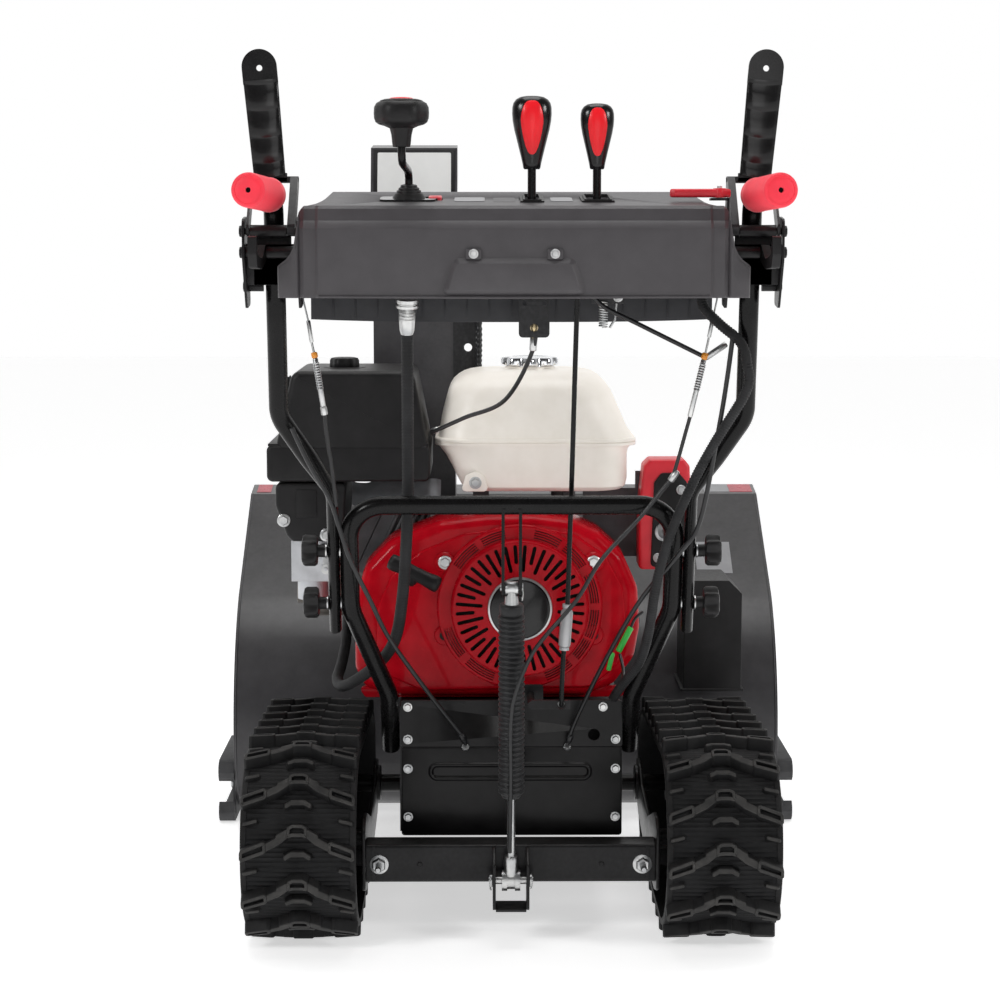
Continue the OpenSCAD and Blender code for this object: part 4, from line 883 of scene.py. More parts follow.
def dprof(x):
    c = cap_z(x)
    d = rear_dy(x)
    yf = 0 if abs(x) <= 249.2 else 1
    pr = [(-299.6, 853), (-300.4, 854.5), (-300.9, 858), (-303.9, 926), (-303.4, 933), (-300.8, 938), (-297.3, 942), (-292.4, 955.6), (-288.6, 959.2), (-92, dz(-92) - 0.3), (-85.5, 977.6), (-81.5, 972), (-80, 962), (-78.3, 853)]
    out = []
    for i, (y, z) in enumerate(pr):
        if z > c:
            z = c - (0.8 if i in (4, 12) else 0)
        y2 = y + (d if i <= 8 else 0)
        if yf and i >= 9:
            y2 = -247 if i < 11 else -244.5
            if i >= 13:
                y2 = -244
        out.append((y2, z))
    return out


XS = [0, 60, 120, 180, 208, 213, 217.5, 222, 226.5, 229.6, 234, 239, 243, 244, 246.5, 248.5, 249.2, 250.6, 252.5, 254.5, 259, 264, 268, 271, 272.5, 274]
XA = [-x for x in reversed(XS[1:])] + XS
mb = MB()
rows = [[(x, y, z) for y, z in dprof(x)] for x in XA]
nP = len(rows[0])
for i in range(len(rows) - 1):
    o = len(mb.v)
    mb.v += rows[i] + rows[i + 1]
    inner = abs(XA[i]) <= 208 and abs(XA[i + 1]) <= 208
    for j in range(nP - 1):
        if inner and j == 8:
            continue
        mb.f.append((o + j, o + j + 1, o + nP + j + 1, o + nP + j))
        mb.m.append(0)
for r in (rows[0], rows[-1]):
    mb.add(r, [tuple(range(nP))], 0)
# top panel with its lever slots and the holes for the crank and the switch
yr, yfr = -288.6, -92
topX = [x for x in XA if abs(x) <= 208]
outer = [(x, yr) for x in topX] + [(x, yfr) for x in reversed(topX)]
holes = [[(14, -244), (30, -244), (30, -174), (14, -174)], [(86, -242), (113, -242), (113, -176), (86, -176)], circ((-124, -210), 8, 20), [(-102, -216), (-84, -216), (-84, -186), (-102, -186)]]
tris = tessellate_polygon([[V((*p, 0)) for p in L] for L in [outer] + holes])
flat = outer + [p for L in holes for p in L]
za, zb = dprof(0)[8][1], dprof(0)[9][1]
mb.add([(x, y, za + (zb - za) * (y - yr) / (yfr - yr)) for x, y in flat], [tuple(t) for t in tris], 0)
ob = mb.make("dash_shell", ROOT, ["dash"], ["dashboard"], ang=17, merge=0.06)
sol = ob.modifiers.new("wall", "SOLIDIFY")
sol.thickness = 0.0028
sol.offset = -1
# raised foot panel with two bolts and the lip under the apron
mb = MB()
tp = round2([(-85.5, 856), (85.5, 856), (71.5, 895), (66, 899.5), (-66, 899.5), (-71.5, 895)], [7.5, 7.5, 8, 8, 8, 8], 4)
rings = []
for dd, yy in ((0, -300.8), (1.0, -301.5), (5.8, -307.4), (7.2, -308.2)):
    rings.append([(p[0], yy - (p[1] - 856) * 0.041, p[1]) for p in inset(tp, dd)])
mb.loft(rings, 0, cap0=False)
mb.tube([(-226, -301.3, 854.6), (-120, -302.0, 854.2), (0, -302.4, 853.8), (120, -302.0, 854.2), (226, -301.3, 854.6)], 1.6, 10)
for q in (-1, 1):
    mb.prism(round2([(-9, 897.5), (9, 897.5), (9, 910), (-9, 910)], 2.5, 3), (q * 47, 0, 0), UX, UZ, 303, 307.2, 0, 1)
mb.make("dash_foot_panel", ROOT, ["dash"], ang=30)
mb = MB()
for q in (-1, 1):
    mb.hexbolt((q * 47, -306.8, 904), (0, -1, 0), 3.8, 2.6, 0)
# (other fasteners on the tractor frame, rear covers and skid shoes)
for z in (256, 216, 150):
    for x in (-137, 141):
        mb.hexbolt((x, 36, z), (0, -1, 0), 4.4, 3.8, 0)
for x in (-137, 124):
    mb.hexbolt((x, 36, 300), (0, -1, 0), 4.2, 3.4, 0)
for x in (-60, 76):
    mb.tube([(x, 32.8, 245.3), (x, 29.5, 247.6)], 5.2, 6, 0)
    mb.tube([(x, 29.6, 247.5), (x, 26.9, 249.5)], 3.8, 16, 0)
for q in (-1, 1):
    for y in (620, 700):
        mb.lathe([(10.5, 0), (10.5, 1.6), (9, 1.8)], (q * 435.4, y, 50), (q, 0, 0), 24, 0)
        mb.hexbolt((q * 437, y, 50), (q, 0, 0), 7.2, 4.6, 0, washer=False)
mb.make("bolt_set", ROOT, ["steel"], ["fasteners"], bevel=0.3)

# skirt below the dashboard
mb = MB()
bot = [(-252 + 504 * i / 40, 817 + 3.6 * abs((i - 20) / 20) ** 3) for i in range(41)]
mb.ybox(bot + [(252, 905), (-252, 905)], -77.7, -74, 0, ch=0.8)
for x in range(-8, 9):
    mb.box((x * 28 - 1, -78.6, 822), (x * 28 + 1, -77.4, 852), 0, ch=0.3)
mb.make("dash_apron", ROOT, ["skirt"], ["dash_skirt"])

# trim on the top panel, in the panel's own plane
RT = Matrix.Translation(V((0, -210, dz(-210)))) @ Matrix.Rotation(math.atan2(22, 205), 4, "X")
mb = MB()
plate(mb, rrect(-158, -26, -92, 18, 9, 5), [circ((-124, 0), 9, 28), [(-104, -8), (-90, -8), (-90, 16), (-104, 16)]], (0, 0, 0), UX, UY, 0.2, 3.0, 1)
mb.lathe([(20, 2.8), (18.5, 5), (16.2, 8.5), (14.8, 8.9), (14.4, 11.5), (12.6, 12), (12.2, 14.6), (10.4, 15.2), (9.6, 18), (5.6, 19)], (-124, 0, 0), (0, 0, 1), 40, 0, cap0=False, cap1=False)
for x0, x1, y0, y1 in ((8, 36, -37, 39), (80, 119, -35, 37)):
    plate(mb, rrect(x0, y0, x1, y1, 4, 4), [rrect(x0 + 5.5, y0 + 2, x1 - 5.5, y1 - 2, 2, 3)], (0, 0, 0), UX, UY, 0.2, 2.6, 0)
    plate(mb, rrect(x0 + 3, y0 + 0.8, x1 - 3, y1 - 0.8, 3, 4), [rrect(x0 + 5.6, y0 + 2.1, x1 - 5.6, y1 - 2.1, 2, 3)], (0, 0, 0), UX, UY, 2.4, 4.4, 0)
plate(mb, rrect(-70, -24, -34, 24, 5, 4), [], (0, 0, 0), UX, UY, 0.2, 1.4, 2)
plate(mb, rrect(44, -24, 70, 24, 5, 4), [], (0, 0, 0), UX, UY, 0.2, 1.4, 2)
plate(mb, rrect(-24, -30, 2, 26, 4, 4), [], (0, 0, 0), UX, UY, 0.1, 0.9, 3)
# speed notches beside the right slot
for i in range(6):
    mb.box((114.5, -29 + i * 11, 2.5), (118.2, -27.6 + i * 11, 3.2), 2, ch=0.2)
mb.move(RT)
mb.make("dash_inserts", ROOT, ["black", "blackgl", "label_grey", "dash"], ["dash_trim"], bevel=0.4)
mb = MB()
R2T = Matrix.Translation(V((-93, -201, dz(-201)))) @ Matrix.Rotation(math.atan2(22, 205), 4, "X")
mb.zbox(rrect(-8, -13, 8, 13, 2.2, 4), -10, 4, 0, ch=1.6)
mb.box((-4.5, -8.5, 3.8), (4.5, -4.5, 4.3), 0, ch=0.2)
mb.tube([(-8.6, 0, -4), (8.6, 0, -4)], 2.2, 16)
mb.move(R2T)
mb.make("rocker", BODY["rocker_switch"], ["redplas"], ["rocker_switch"])

# ------------------------------------------------------------------ levers
M["knobred"] = mat("knob_red_m", (0.80, 0.010, 0.018), 0.34, spec=0.25, var=0.05, bump=0.08, bscale=900, coat=0.15, coat_rough=0.15)
KZ = [(1003, 8.4, 7.0), (1004.5, 9.6, 8.2), (1010, 10.6, 8.8), (1020, 12.9, 9.8), (1035, 16.6, 11.4), (1048, 19.8, 12.8), (1058, 21.6, 13.7), (1066, 22.2, 14.0), (1073, 22.0, 13.7), (1078, 20.8, 12.8), (1082, 18.0, 10.9), (1084.8, 13.4, 7.9), (1086, 6.8, 4.0)]


def kwid(z):
    for (a, p, q), (b, r, s) in zip(KZ, KZ[1:]):
        if z <= b:
            t = (z - a) / (b - a)
            return p + (r - p) * t, q + (s - q) * t
    return KZ[-1][1:]


def knob(mb, x, kw=1.0, kz=1.0):
    k0 = mb.at()
    rings = []
    for z, a, b in KZ:
        rings.append([(x + a * math.cos(2 * math.pi * j / 40), -210 + b * math.sin(2 * math.pi * j / 40), z) for j in range(40)])
    mb.loft(rings, 0)
    # red inset in the face towards the operator
    n = 48
    O = []
    for j in range(n):
        a = 2 * math.pi * j / n
        zz = 1050 + 30.5 * math.copysign(abs(math.sin(a)) ** 0.85, math.sin(a))
        w = (13.0 if zz > 1058 else 13.0 - 5.6 * (1058 - zz) / 38) * math.copysign(abs(math.cos(a)) ** 0.72, math.cos(a))
        O.append((w, zz))
    rings = []
    for k, off in ((1.0, -1.5), (1.0, 0.5), (0.93, 1.0), (0.6, 1.3), (0.25, 1.45)):
        ring = []
        for w, zz in O:
            w2, z2 = w * k, 1053 + (zz - 1053) * k
            a, b = kwid(z2)
            y = -b * math.sqrt(max(0.05, 1 - (w2 / a) ** 2))
            ring.append((x + w2, -210 + y - off, z2))
        rings.append(ring)
    mb.loft(rings, 1, cap0=False)
    mb.move(Matrix.Translation(V((x, -210, 1003))) @ Matrix.Diagonal(V((kw, kw, kz, 1))) @ Matrix.Translation(V((-x, 210, -1003))), k0)


mb = MB()
knob(mb, 22, 1.06, 1.035)
mb.tube([(22, -210, 900), (22, -210, 1005)], 5, 20, 2)
mb.tube([(12, -210, 900), (16.3, -210, 900)], 4, 16, 3)
mb.tube([(16.3, -210, 900), (30, -210, 900)], 3.9, 16, 3)
mb.box((17, -214, 896), (27, -178, 904), 2, ch=1)
mb.make("chute_lever_shape", BODY["chute_lever"], ["blackgl", "knobred", "tube", "steel"], ["chute_lever"], ang=45)
mb = MB()
knob(mb, 99.5, 0.90, 0.93)
mb.tube([(99.5, -210, 900), (99.5, -210, 1005)], 5, 20, 2)
mb.tube([(94, -210, 900), (118, -210, 900)], 4, 16, 3)
mb.xbox([(-214, 895), (-206, 893), (-165, 905), (-165, 914), (-176, 914)], 94, 102, 2, ch=0.8)
mb.tube([(77, -171.2, 909.8), (96, -171.2, 909.8)], 3.5, 16, 3)
mb.make("speed_lever_shape", BODY["speed_lever"], ["blackgl", "knobred", "tube", "steel"], ["speed_lever"], ang=45)
# red tilt lever
mb = MB()
mb.zbox(round2([(190, -238), (246, -239.6), (256, -236), (256, -228), (246, -224.4), (190, -226), (184.5, -229), (184.5, -235)], 2.5, 3), 969.6, 979.6, 0, ch=2.6, chn=4)
mb.lathe([(8, 969.4), (8.2, 971), (8.2, 979), (7.2, 980.3), (3.1, 980.4)], (243, -232, 0), (0, 0, 1), 32, 0, cap1=False)
mb.lathe([(3.0, 978), (5.2, 980.4), (5.2, 982), (0.3, 983)], (243, -232, 0), (0, 0, 1), 20, 1) if False else None
mb.make("tilt_lever_shape", BODY["tilt_lever"], ["redplas", "steel"], ["tilt_lever"], ang=40)
# chute crank
mb = MB()
mb.tube(fillet([(-124, -210, 896), (-124, -210, 1000), (-130, -280, 1009), (-130, -280, 1060)], [14, 14], 8), 4.7, 20, 0)
mb.lathe([(6.5, 1026), (9.8, 1026.6), (10.4, 1030), (11.4, 1040), (13.2, 1047.5), (19, 1050.2), (25.4, 1052), (29.0, 1054.6), (30.6, 1059), (31, 1065), (30.6, 1071.6), (28.2, 1076.2), (24.8, 1078.2)], (-130, -280, 0), (0, 0, 1), 72, 1, lobes=6, amp=0.03)
mb.lathe([(25.4, 1077.2), (24.4, 1079.2), (20, 1080.6), (14.6, 1080.9)], (-130, -280, 0), (0, 0, 1), 60, 1, cap0=False, cap1=False)
mb.lathe([(14.8, 1080.4), (14.6, 1081.2), (12.4, 1082.3), (7, 1082.9), (0.4, 1083)], (-130, -280, 0), (0, 0, 1), 48, 2)
mb.lathe([(9, 895), (9, 907)], (-124, -210, 0), (0, 0, 1), 24, 0)
mb.make("crank_shape", BODY["chute_crank"], ["tube", "black", "knobred"], ["chute_crank"], ang=45)

# ------------------------------------------------------------------ handlebars
PATH_LOW = [(-161, 70, 238), (-161, 16, 322), (-206, -62, 450), (-206, -100, 588), (206, -100, 588), (206, -62, 450), (161, 16, 322), (161, 70, 238)]
mb = MB()
mb.tube(fillet(PATH_LOW, [60, 60, 45, 45, 60, 60], 12), 12, 28, 0)
for q in (-1, 1):
    plate(mb, round2([(-108.5, 583), (-100.5, 470.5), (-83.5, 470.5), (-91.5, 583)], [3, 7, 7, 3], 4), [circ((-92, 481), 4.1, 20)], (0, 0, 0), UY, UZ, min(q * 9, q * 13), max(q * 9, q * 13), 0)
    # weld bead where the tongue meets the cross tube
    mb.tube([(q * 8.2, -88, 585), (q * 13.8, -88, 585), (q * 13.8, -111, 584), (q * 8.2, -111, 584)], 1.4, 8, 0)
mb.make("handlebar_low", ROOT, ["tube"], ["lower_handlebar"], ang=45, bevel=0.0)
UP = fillet([(-226, -54, 422), (-226, -104, 606), (-289, -130, 703), (-287, -166, 815), (-287, -192, 972), (-301.5, -332, 976)], [40, 45, 200, 27], 12)
# denser points between the bends
dn = []
for a, b in zip(UP, UP[1:]):
    k = max(1, int((b - a).length / 12))
    dn += [a.lerp(b, j / k) for j in range(k)]
UP = dn + [UP[-1]]


def upw(z):
    return 7.7 if z < 600 else (12 if z > 650 else 7.7 + 4.3 * (z - 600) / 50)


def upd(z):
    return 14.5 if z < 600 else (12 if z > 650 else 14.5 - 2.5 * (z - 600) / 50)


mb = MB()
mb.tube(UP, [upw(p.z) for p in UP], 28, 0, r2=[upd(p.z) for p in UP])
k = mb.at()
for y, z in ((-66, 458), (-85, 528)):
    mb.lathe([(8.5, 0), (8.5, 1.4), (7, 1.6)], (-218.2, y, z), (1, 0, 0), 20, 1)
mb.mirror()
mb.make("handlebars_up", ROOT, ["tube", "steel"], ["upper_handlebars"], ang=45)
mb = MB()
gA, gE = V((-287, -192, 972)), V((-301.5, -332, 976))
gU = (gE - gA).normalized()
gl = (gE - gA).length
prof = [(12.2, 24), (19.4, 24.2), (20.5, 25.4), (20.8, 28), (20.5, 31), (19.9, 33)]
g = 36
while g < gl + 0:
    prof += [(20.0, g), (20.15, g + 1.2), (19.6, g + 2.0)]
    g += 3.2
prof += [(20, gl + 1), (19.4, gl + 2.9), (17.8, gl + 3.9), (9, gl + 4.2), (3.2, gl + 4.2), (3.0, gl - 4)]
mb.lathe(prof, gA, gU, 56, 0, cap0=False, cap1=True)
# painted shade: near-black disc at the bottom of the end hole stands in for the shade inside it
mb.lathe([(3.05, gl - 3.5), (0.2, gl - 3.6)], gA, gU, 16, 1)
mb.lathe([(17.8, gl + 3.8), (17.6, gl + 4.4), (15.6, gl + 4.5), (15.4, gl + 3.9)], gA, gU, 48, 0, cap0=False, cap1=False)
mb.mirror()
mb.make("grips", ROOT, ["grip", "painted_shade_fill"], ["hand_grips"], ang=50)

# brackets that carry the paddles and triggers
mb = MB()
BP = round2([(-232, 944), (-200, 948), (-172, 880), (-168, 842), (-200, 838), (-232, 896)], [7, 7, 12, 6, 6, 12], 4)
for a, b in ((-321, -318), (-257, -254)):
    plate(mb, BP, [], (0, 0, 0), UY, UZ, a, b, 0)
mb.tube([(-324, -216, 930), (-254, -216, 930)], 4, 16, 0)
mb.tube([(-324, -216, 905), (-254, -216, 905)], 4, 16, 0)
for y, z in ((-216, 930), (-216, 905)):
    mb.hexbolt((-321, y, z), (-1, 0, 0), 6, 3.2, 0)
mb.tube([(-318, -178, 864), (-301, -178, 864)], 6, 20, 0)
mb.box((-318.5, -203, 866), (-256.5, -200, 915), 0, ch=0.5)
mb.box((-310, -203, 866), (-265, -200, 925), 0, ch=0.5)
mb.tube([(-312.6, -216, 930), (-269, -216, 930)], 7.6, 24, 0)
mb.tube([(-317.6, -216, 905), (-305, -216, 905)], 7, 24, 0)
mb.tube([(-293, -216, 905), (-257.4, -216, 905)], 7, 24, 0)
mb.tube([(-274, -178, 864), (-257, -178, 864)], 6, 20, 0)
mb.hexbolt((-321, -178, 864), (-1, 0, 0), 6, 3.2, 0)
mb.mirror()
mb.box((232, -242, 966), (254, -222, 969), 0, ch=0.6)
mb.box((251, -242, 940), (254, -222, 969), 0, ch=0.6)
mb.tube([(243, -232, 966), (243, -232, 983)], 3, 16, 1)
mb.make("control_brackets", ROOT, ["frame", "steel"], ["lever_brackets"], bevel=0.5)

# paddles
def paddle(q, name):
    mb = MB()
    arm = round2([(-222, 924), (-209, 924), (-154, 984), (-154, 996), (-170, 996), (-226, 936)], [6, 5, 3, 3, 3, 6], 3)
    plate(mb, arm, [circ((-216, 930), 4.1, 20)], (0, 0, 0), UY, UZ, -316.5, -313.5, 1)
    plate(mb, arm, [circ((-216, 930), 4.1, 20)], (0, 0, 0), UY, UZ, -268, -259, 1)
    mb.box((-316.5, -170, 988), (-259, -154, 996), 1, ch=1.5)
    mb.box((-312, -170, 988), (-272, -166, 1000), 1, ch=0.8)
    k = mb.at()
    # finger side: four shallow scallops with sharp crests, then the plain round tip with its hole
    def hw(z):
        return 19.2 + 1.8 * min(1, z / 120)
    crests = [19.5, 49.5, 81.0, 112.0]
    lz = [0, 2, 6, 11, 16, 19, 19.6, 20.4, 24, 31, 39, 46, 49, 49.6, 50.4, 54, 62, 70, 77, 80.4, 81, 81.8, 86, 94, 102, 108, 111.4, 112, 112.8, 114.5]
    rings = []
    for z in lz:
        d = min([z - c for c in crests if z >= c - 0.01] or [z + 8])
        bulge = 1.1 * math.sin(min(1.0, max(0.0, d) / 24) * math.pi) ** 0.7 if d >= 0 else 0
        f = 4.2 + bulge
        w = hw(z)
        ring = []
        for j in range(32):
            a = 2 * math.pi * j / 32
            ca, sa = math.cos(a), math.sin(a)
            x = w * math.copysign(abs(ca) ** 0.75, ca)
            y = (f if sa < 0 else 2.6) * math.copysign(abs(sa) ** 0.75, sa)
            ring.append((x, y - 2.2 + (0.0), z + (3.2 * (1 - (abs(x) / w) ** 2) if 0 < z < 114 else 0) * (-1 if d < 26 else -1)))
        rings.append(ring)
    mb.loft(rings, 0)
    tip = [(-21, 110)] + [(21 * math.cos(math.radians(180 - 6 * i)), 130 + 21 * math.sin(math.radians(180 - 6 * i))) for i in range(31)] + [(21, 110)]
    n = len(tip)
    plate(mb, tip, [circ((0, 128.5), 3.6, 20)], (0, 0, 0), UX, UZ, 0.4, 4.6, 0)
    T = [(tip, -0.2), (inset(tip, 0.4), 0.4)]
    # tilt and place the finger side and the tip; no rim is built round the tip
    Tm = Matrix.Translation(V((-293, -166, 996))) @ Matrix.Rotation(math.radians(-4.6), 4, "Y") @ Matrix.Rotation(math.radians(2.5), 4, "X")
    mb.move(Tm, k)
    # braided cable end below the bracket is fixed elsewhere
    if q > 0:
        mb.v = [(-v[0], v[1], v[2]) for v in mb.v]
    mb.make(name + "_shape", BODY[name], ["blackgl", "frame"], [name], ang=28)


paddle(-1, "paddle_left")
paddle(1, "paddle_right")


def trigger(q, name):
    mb = MB()
    P = [(-211, 914), (-208, 898), (-222, 894), (-262, 886), (-320, 888), (-331, 903), (-330, 923), (-323, 925), (-317, 905), (-300, 901), (-262, 898), (-224, 914)]
    plate(mb, round2(P, [3, 5, 14, 30, 9, 6, 2.5, 2.5, 5, 12, 20, 3], 5), [circ((-216, 905), 4.1, 20)], (0, 0, 0), UY, UZ, -304.0, -294.0, 0)
    if q > 0:
        mb.v = [(-v[0], v[1], v[2]) for v in mb.v]
    mb.make(name + "_shape", BODY[name], ["black"], [name], bevel=2.6, seg=3)


trigger(-1, "trigger_left")
trigger(1, "trigger_right")

# star knobs of the folding handle
mb = MB()
for y, z in ((-66, 458), (-85, 528)):
    mb.tube([(-234, y, z), (-247, y, z)], 8, 20, 0)
    rings = []
    for x, r, am in ((-245.5, 10, 0.0), (-246.5, 15.5, 0.18), (-249.5, 17.6, 0.20), (-262, 17.6, 0.20), (-264.8, 16.2, 0.18), (-266, 12.5, 0.10)):
        rings.append([(x, y + r * (1 + am * math.cos(5 * a)) * math.cos(a), z + r * (1 + am * math.cos(5 * a)) * math.sin(a)) for a in [2 * math.pi * j / 60 + 0.3 for j in range(60)]])
    mb.loft(rings, 0)
    mb.tube([(-234.3, y, z), (-236, y, z)], 9, 24, 1)
mb.mirror()
mb.make("clamp_knob_shapes", ROOT, ["black", "steel"], ["clamp_knobs"], ang=40)


# ------------------------------------------------------------------ body parts refined from the construction meshes
refine("tractor_frame", "frame", 2.0, 3)
refine("belt_cover", "black", 1.5, 2)
refine("battery_box", "black", 3.0, 4)
refine("engine_block", "blockgrey", 2.0, 2)
refine("cylinder_head", "blockgrey", 1.0, 2)
refine("muffler", "exh", 4.0, 4)
refine("carburettor", "alu", 1.5, 3)
refine("starter_motor", "frame", 1.5, 3)
refine("skid_shoes", "iron", 2.0, 3)
refine("scraper_bar", "steel", 0.8, 2)
refine("impeller_housing", "housing", 1.0, 2)
refine("transmission", "iron", 2.0, 2)
refine("auger_gearbox", "alu", 2.0, 3)
refine("bearings", "iron", 0.6, 2)
refine("crankshaft", "steel", 0.6, 2)
refine("choke_lever", "steel", 0.5, 2)
refine("drive_axle", "frame", 0.8, 2)
refine("idler_wheels", "black", 2.0, 3)
refine("auger", "red", 0.0, 1, ang=40)
refine("impeller", "redflat", 0.8, 2)
refine("shift_arm", "frame", 0.8, 2)
refine("chute", "housing", 0.7, 2)

# ------------------------------------------------------------------ auger housing: sheet with rounded edges, seams and reflectors
refine("auger_housing", "housing", 0.9, 2, ang=35)
mb = MB()
back = [(925, 500), (868, 490)] + [(846 + 290 * math.cos(math.radians(a)), 130 + 290 * math.sin(math.radians(a))) for a in range(131, 181, 4)] + \
       [(656 + 100 * math.cos(math.radians(a)), 110 + 100 * math.sin(math.radians(a))) for a in range(180, 271, 9)] + [(905, 10)]
for q in (-1, 1):
    # weld seam along the corner between the back sheet and the side plate
    mb.tube([(q * 426.4, y - 0.0, z) for y, z in back[1:-1]], 1.5, 6, 0)
    # bolt places along the side plate's edge; no bolts are built
    for y, z in ((640, 392), (566, 250), (561, 130)):
        pass
mb.make("housing_seams", ROOT, ["housing"], ang=60)
mb = MB()


def on_top(x0, x1, y0, y1, m, off=0.5, t=0.5):
    s = (500 - 490) / (925 - 868)
    z0, z1 = 490 + (y0 - 868) * s, 490 + (y1 - 868) * s
    vs = [(x, y, z + o) for o in (off - 0.4, off + t - 0.4) for x, y, z in ((x0, y0, z0), (x1, y0, z0), (x1, y1, z1), (x0, y1, z1))]
    mb.add(vs, [(3, 2, 1, 0), (4, 5, 6, 7), (0, 1, 5, 4), (1, 2, 6, 5), (2, 3, 7, 6), (3, 0, 4, 7)], m)


on_top(-421, -397, 878, 922, 0)
on_top(342, 385, 878, 922, 1)
on_top(385.4, 424, 878, 922, 0)
s = (490 - 349) / (868 - 656)
nrm = V((0, -s, 1)).normalized()
P = [(314, 700), (372, 700), (372, 764), (314, 764)]
Q = [V((x, y, 349 + (y - 656) * s)) for x, y in P]
mb.add([p + nrm * 0.25 for p in Q] + [p + nrm * 0.7 for p in Q], [(3, 2, 1, 0), (4, 5, 6, 7), (0, 1, 5, 4), (1, 2, 6, 5), (2, 3, 7, 6), (3, 0, 4, 7)], 2)
M["reflector"] = mat("red_reflector_m", (0.42, 0.03, 0.05), 0.30, var=0.10, bump=0.2, bscale=2500)
mb.make("housing_reflectors", ROOT, ["reflector", "label_grey", "label_grey"], ang=30)

# ------------------------------------------------------------------ chute: brackets on the operator's side
mb = MB()
plate(mb, round2([(-80, 700), (-46, 700), (-46, 836), (-80, 836)], 4, 3), [circ((-58, 760), 6, 20)], (0, 0, 0), UX, UZ, -439.6, -437.4, 0)
mb.tube([(-42, 436, 690 + 3 * i) if False else (-40 + 1.5 * math.cos(i * 1.3), 434 + 1.5 * math.sin(i * 1.3), 700 + i * 1.6) for i in range(84)], 4.2, 8, 1) if False else None
rings = smooth([(-44, 430, 690), (-42, 430, 740), (-42, 430, 800), (-46, 430, 880), (-60, 432, 940)], 30)
mb.tube(rings, [5.0 if (i // 2) % 2 else 4.2 for i in range(len(rings))], 12, 1)
mb.hexbolt((-66, 437.4, 820), (0, -1, 0), 5, 3, 2)
mb.hexbolt((-66, 437.4, 714), (0, -1, 0), 5, 3, 2)
mb.make("chute_bracket", BODY["chute"], ["frame", "cord", "steel"], ang=40)
refine("chute_deflector", "housing", 0.9, 2)
mb = MB()
a, b = V((0, 436.5, 966)), V((0, 462, 1055.2))
u = (b - a).normalized()
nn = V((0, -u.z, u.y))
o = a + u * 5
mb.prism(rrect(-198, 0, -77, 85, 3, 3), o, UX, u, 0.2, 1.0, 0, 0.2)
mb.prism(rrect(-192, 5, -83, 80, 2, 3), o, UX, u, 1.0, 1.6, 1, 0.15)
mb.make("deflector_plate", BODY["chute_deflector"], ["black", "white"], ang=40)

# ------------------------------------------------------------------ control cables
def corr(P, r0, r1, step, mb, m, n=14):
    """corrugated tube"""
    L = [V(p) for p in P]
    out = []
    acc = 0
    for a, b in zip(L, L[1:]):
        d = (b - a).length
        while acc <= d:
            out.append(a.lerp(b, acc / d))
            acc += step
        acc -= d
    out.append(L[-1])
    mb.tube(out, [r0 if i % 2 else r1 for i in range(len(out))], n, m)


def sleeve(mb, a, b, r, m, n=20, tip=0.75):
    a, b = V(a), V(b)
    d = b - a
    L = d.length
    mb.lathe([(r * tip, 0), (r, min(1.2, L * 0.2)), (r, L - min(1.2, L * 0.2)), (r * tip, L)], a, d, n, m)


mb = MB()
C1 = [[-272, -147, 690], [-251, -137, 643], [-227, -126, 598], [-215, -121, 559], [-203, -112, 520], [-180, -90, 466], [-156, -60, 409], [-106, -18, 328], [-66, 16, 268], [-60, 25, 252]]
C2 = [[268, -178, 811], [262, -165, 750], [254, -150, 687], [235, -127, 572], [211, -117, 530], [164, -85, 464], [123, -30, 376], [88, 14, 290], [76, 25, 252]]
C3 = [[200, -124, 625], [160, -122, 575], [112, -120, 521], [81, -116, 469], [40, -112, 420], [22, -108, 392], [6, -104, 350], [-1, -98, 308], [-1, -90, 230], [-2, -80, 150], [-2, -75, 132]]
C4 = [[28, -122, 830], [26, -118, 785], [-8, -60, 718], [-60, 5, 690], [-100, 60, 668], [-105, 104, 664]]
C5 = [[95, -150, 862], [110, -150, 840], [157, -148, 816], [240, -146, 775]]
C6 = [[230, -150, 860], [234, -156, 838], [252, -170, 818], [276, -184, 796], [284, -186, 770], [284, -182, 738], [250, -150, 672], [226, -132, 622], [200, -124, 559], [187, -119, 514], [180, -106, 474], [175, -82, 422], [166, -48, 377], [146, -8, 338], [137, 25, 314]]
for C, r in ((C1, 3.0), (C2, 3.0), (C3, 2.7), (C4, 2.8), (C5, 2.8)):
    mb.tube(smooth(C, 10), r, 14, 0)
corr(smooth(C6, 14), 5.7, 6.6, 1.9, mb, 1)
# ends at the rear cover: boots and adjusters
sleeve(mb, (-66, 16, 268), (-61.5, 22.5, 256.5), 4.4, 0)
sleeve(mb, (80.5, 20.5, 265), (77, 24, 255), 4.4, 0)
# left adjuster: wire, nipple, orange ring and long bright sleeve
mb.tube([(-257, -152, 868), (-255.5, -150, 846), (-250, -150, 822)], 1.1, 8, 2)
sleeve(mb, (-250, -150, 822), (-246, -149, 795), 2.6, 2)
mb.tube([(-246, -149, 795), (-243.4, -149, 783)], 1.5, 8, 2)
sleeve(mb, (-243.4, -149, 783), (-242, -149, 776), 4.0, 3)
sleeve(mb, (-242, -149, 776), (-232.5, -148, 716), 3.3, 2)
corr([(-241.0, -149, 770), (-236, -148.4, 738)], 3.4, 4.3, 1.6, mb, 2, 12)
sleeve(mb, (-232.5, -148, 716), (-231, -147, 706), 4.2, 2, 6, 0.9)
mb.tube(smooth([(-231, -147, 706), (-229, -143, 680), (-224, -134, 640), (-219, -126, 590)], 8), 2.4, 12, 0)
